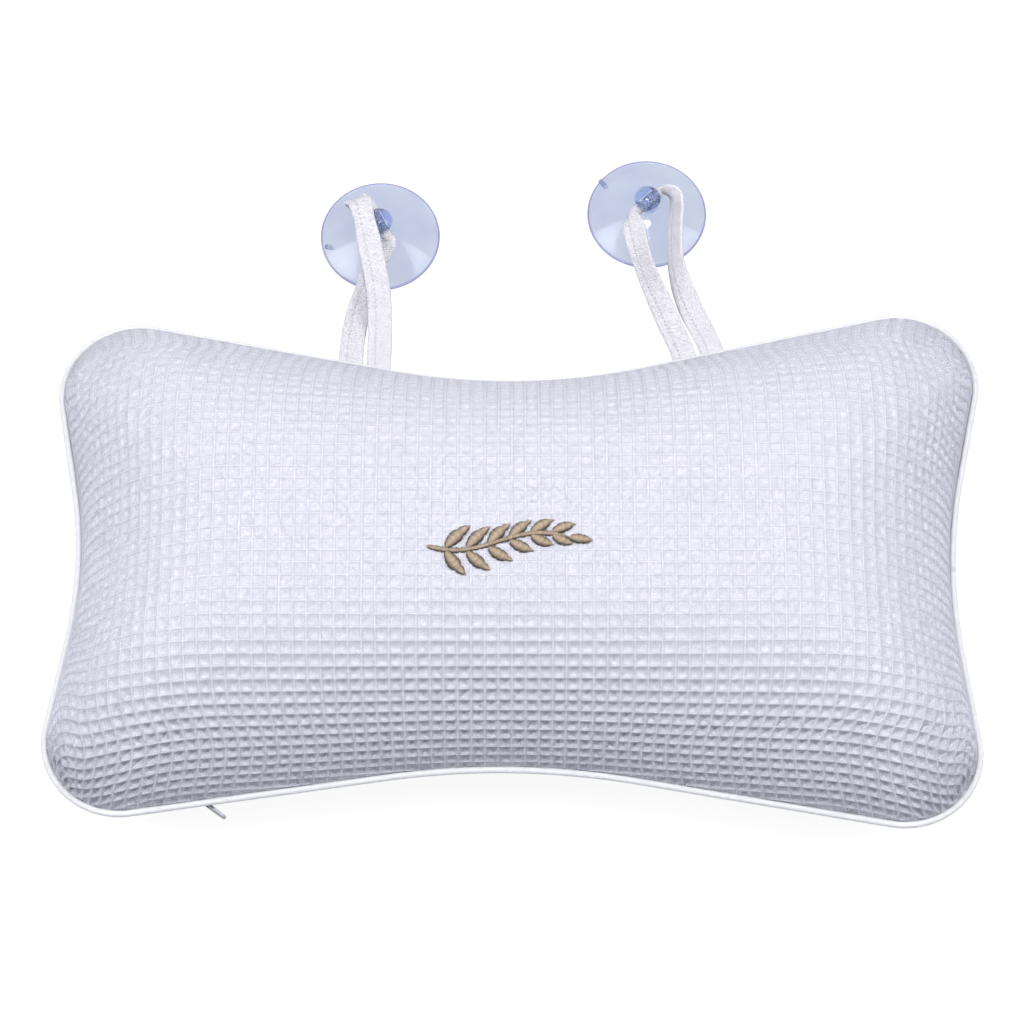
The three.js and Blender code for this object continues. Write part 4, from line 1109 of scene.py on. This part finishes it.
node = frame["nodes"]
cotton, satin, tape, vinyl, thread = coverCotton(), pipingSatin(), strapTape(), clearPvc(), satinThread()
zinc = speckled("grey zinc", (0.30, 0.31, 0.34), 0.5, [700.0], (0.26, 0.27, 0.30), (0.34, 0.35, 0.385),
                [2600.0], 0.00003, Metallic=0.35)
zinc.roughness(zinc.noise(1500.0), 0.42, 0.6)
nylon = speckled("coil nylon", (0.74, 0.735, 0.80), 0.35, [600.0], (0.70, 0.695, 0.765), (0.78, 0.775, 0.83),
                 [3000.0], 0.00002)
fibre = speckled("hollow fibre", (0.84, 0.84, 0.87), 0.95, [120.0, 6.0], (0.76, 0.76, 0.80), (0.88, 0.88, 0.91),
                 [700.0, 6.0], 0.0008, Sheen_Weight=0.3)
zipTape = wovenPlain("zip tape", (0.74, 0.735, 0.81), 1400.0, 400.0)
lining = wovenPlain("pad lining", (0.80, 0.80, 0.83), 1100.0, 300.0)
cordCotton = wovenPlain("piping cord", (0.80, 0.80, 0.82), 900.0, 300.0)


# each piece, its body, the record's material slot, its look, the parts it stands for and a fill share: it gets
# its look and its body and those parts are hidden; slot and fill are not used
for obj, body, slot, look, nodes, fill in (
        (front, "cushion", "cotton", cotton, ["front_panel"], 0.6),
        (back, "cushion", "cotton", cotton, ["back_panel"], 0.6),
        (caseFront, "cushion", "lining", lining, ["inner_case_front"], 0.6),
        (caseBack, "cushion", "lining", lining, ["inner_case_back"], 0.6),
        (filling, "cushion", "fibre", fibre, ["filling"], 0.6),
        (pipe, "cushion", "satin", satin, ["piping_sleeve"], None),
        (sewn, "cushion", "satin", thread, [], None),
        (leftCup, "left_cup", "pvc", vinyl, ["left_suction_cup"], None),
        (rightCup, "right_cup", "pvc", vinyl, ["right_suction_cup"], None),
        (coilFront, "cushion", "nylon", nylon, ["zip_coil_front"], None),
        (coilBack, "cushion", "nylon", nylon, ["zip_coil_back"], None)):
    look.on(obj)
    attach(obj, body)
    if nodes:
        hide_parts(*nodes)
# each tape gets its look, stands in for its strap part, which is hidden, and has its place baked into its
# points
for obj, body in ((leftTape, "left_strap"), (rightTape, "right_strap")):
    tape.on(obj)
    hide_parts(body)
    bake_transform(obj)

zipTape.on(node["zip_tape_front"], node["zip_tape_back"])
zinc.on(node["zip_slider"], node["zip_pull"], node["zip_top_stop"], node["zip_bottom_stop"])
cordCotton.on(node["piping_cord"])

# lamps: watts, size and place in metres
studio = dict(floorGlow=0.89, floorTone=0.22, floorHalf=4000.0, floorHeight=-0.2, bounce=(0.42, 0.43, 0.47),
              fill=(0.36, 0.37, 0.41),
              lamps=[(16.4, 0.35, (-0.03, 0.08, 1.75)), (13.6, 0.8, (-1.15, 0.0, 1.2)),
                     (13.2, 0.8, (1.15, 0.0, 1.2))],
              cameraAt=(0.0, -0.7540, 1.8662), cameraTilt=23.018, lens=174.04)


# 1 for rays from the camera, from mirrors and through clear pieces, 0 for all others
def seenRays(tree):
    path = addNode(tree, "LightPath").outputs
    total = path["Is Camera Ray"]
    for key in ("Is Glossy Ray", "Is Transmission Ray"):
        add = addNode(tree, "Math", total, path[key])
        add.operation = "MAXIMUM"
        total = add.outputs[0]
    return total


# floor: glow + a little diffuse that keeps the shadow where it is seen, plain diffuse for other light
def paleFloor():
    half, z = studio["floorHalf"], studio["floorHeight"]
    floor = meshPiece("floor", [[-half, -half, z], [half, -half, z], [half, half, z], [-half, half, z]],
                      [[0, 1, 2, 3]], smooth=False)
    mat = bpy.data.materials.new("pale floor")
    mat.use_nodes = True
    tree = mat.node_tree
    tree.nodes.clear()
    glow = addNode(tree, "Emission", Strength=studio["floorGlow"])
    catch = addNode(tree, "BsdfDiffuse", Color=(studio["floorTone"],) * 3 + (1,))
    both = addNode(tree, "AddShader", glow.outputs[0], catch.outputs[0])
    plain = addNode(tree, "BsdfDiffuse", Color=(*studio["bounce"], 1))
    mix = addNode(tree, "MixShader", seenRays(tree), plain.outputs[0], both.outputs[0])
    addNode(tree, "OutputMaterial", mix.outputs[0])
    floor.data.materials.append(mat)


# white world where it is seen and plain fill elsewhere, with soft lamps turned to the origin
def studioLight():
    world = bpy.data.worlds.new("studio")
    scene.world = world
    world.use_nodes = True
    tree = world.node_tree
    sky = next(n for n in tree.nodes if n.type == "BACKGROUND")
    level = addNode(tree, "MixRGB", seenRays(tree), (*studio["fill"], 1), (1, 1, 1, 1))
    tree.links.new(level.outputs["Color"], sky.inputs["Color"])
    for power, size, (x, y, z) in studio["lamps"]:
        light = bpy.data.lights.new("softbox", "AREA")
        light.energy = power
        light.size = size
        lamp = bpy.data.objects.new("softbox", light)
        lamp.location = (x, y, z)
        lamp.rotation_euler = (math.atan2(math.hypot(x, y), z), 0, math.atan2(x, -y))
        scene.collection.objects.link(lamp)


paleFloor()
studioLight()
lens = bpy.data.cameras.new("camera")
lens.lens = studio["lens"]
lens.sensor_width = 36.0
lens.sensor_fit = "HORIZONTAL"
camera = bpy.data.objects.new("camera", lens)
camera.location = studio["cameraAt"]
camera.rotation_euler = (math.radians(studio["cameraTilt"]), 0, 0)
scene.collection.objects.link(camera)
scene.camera = camera
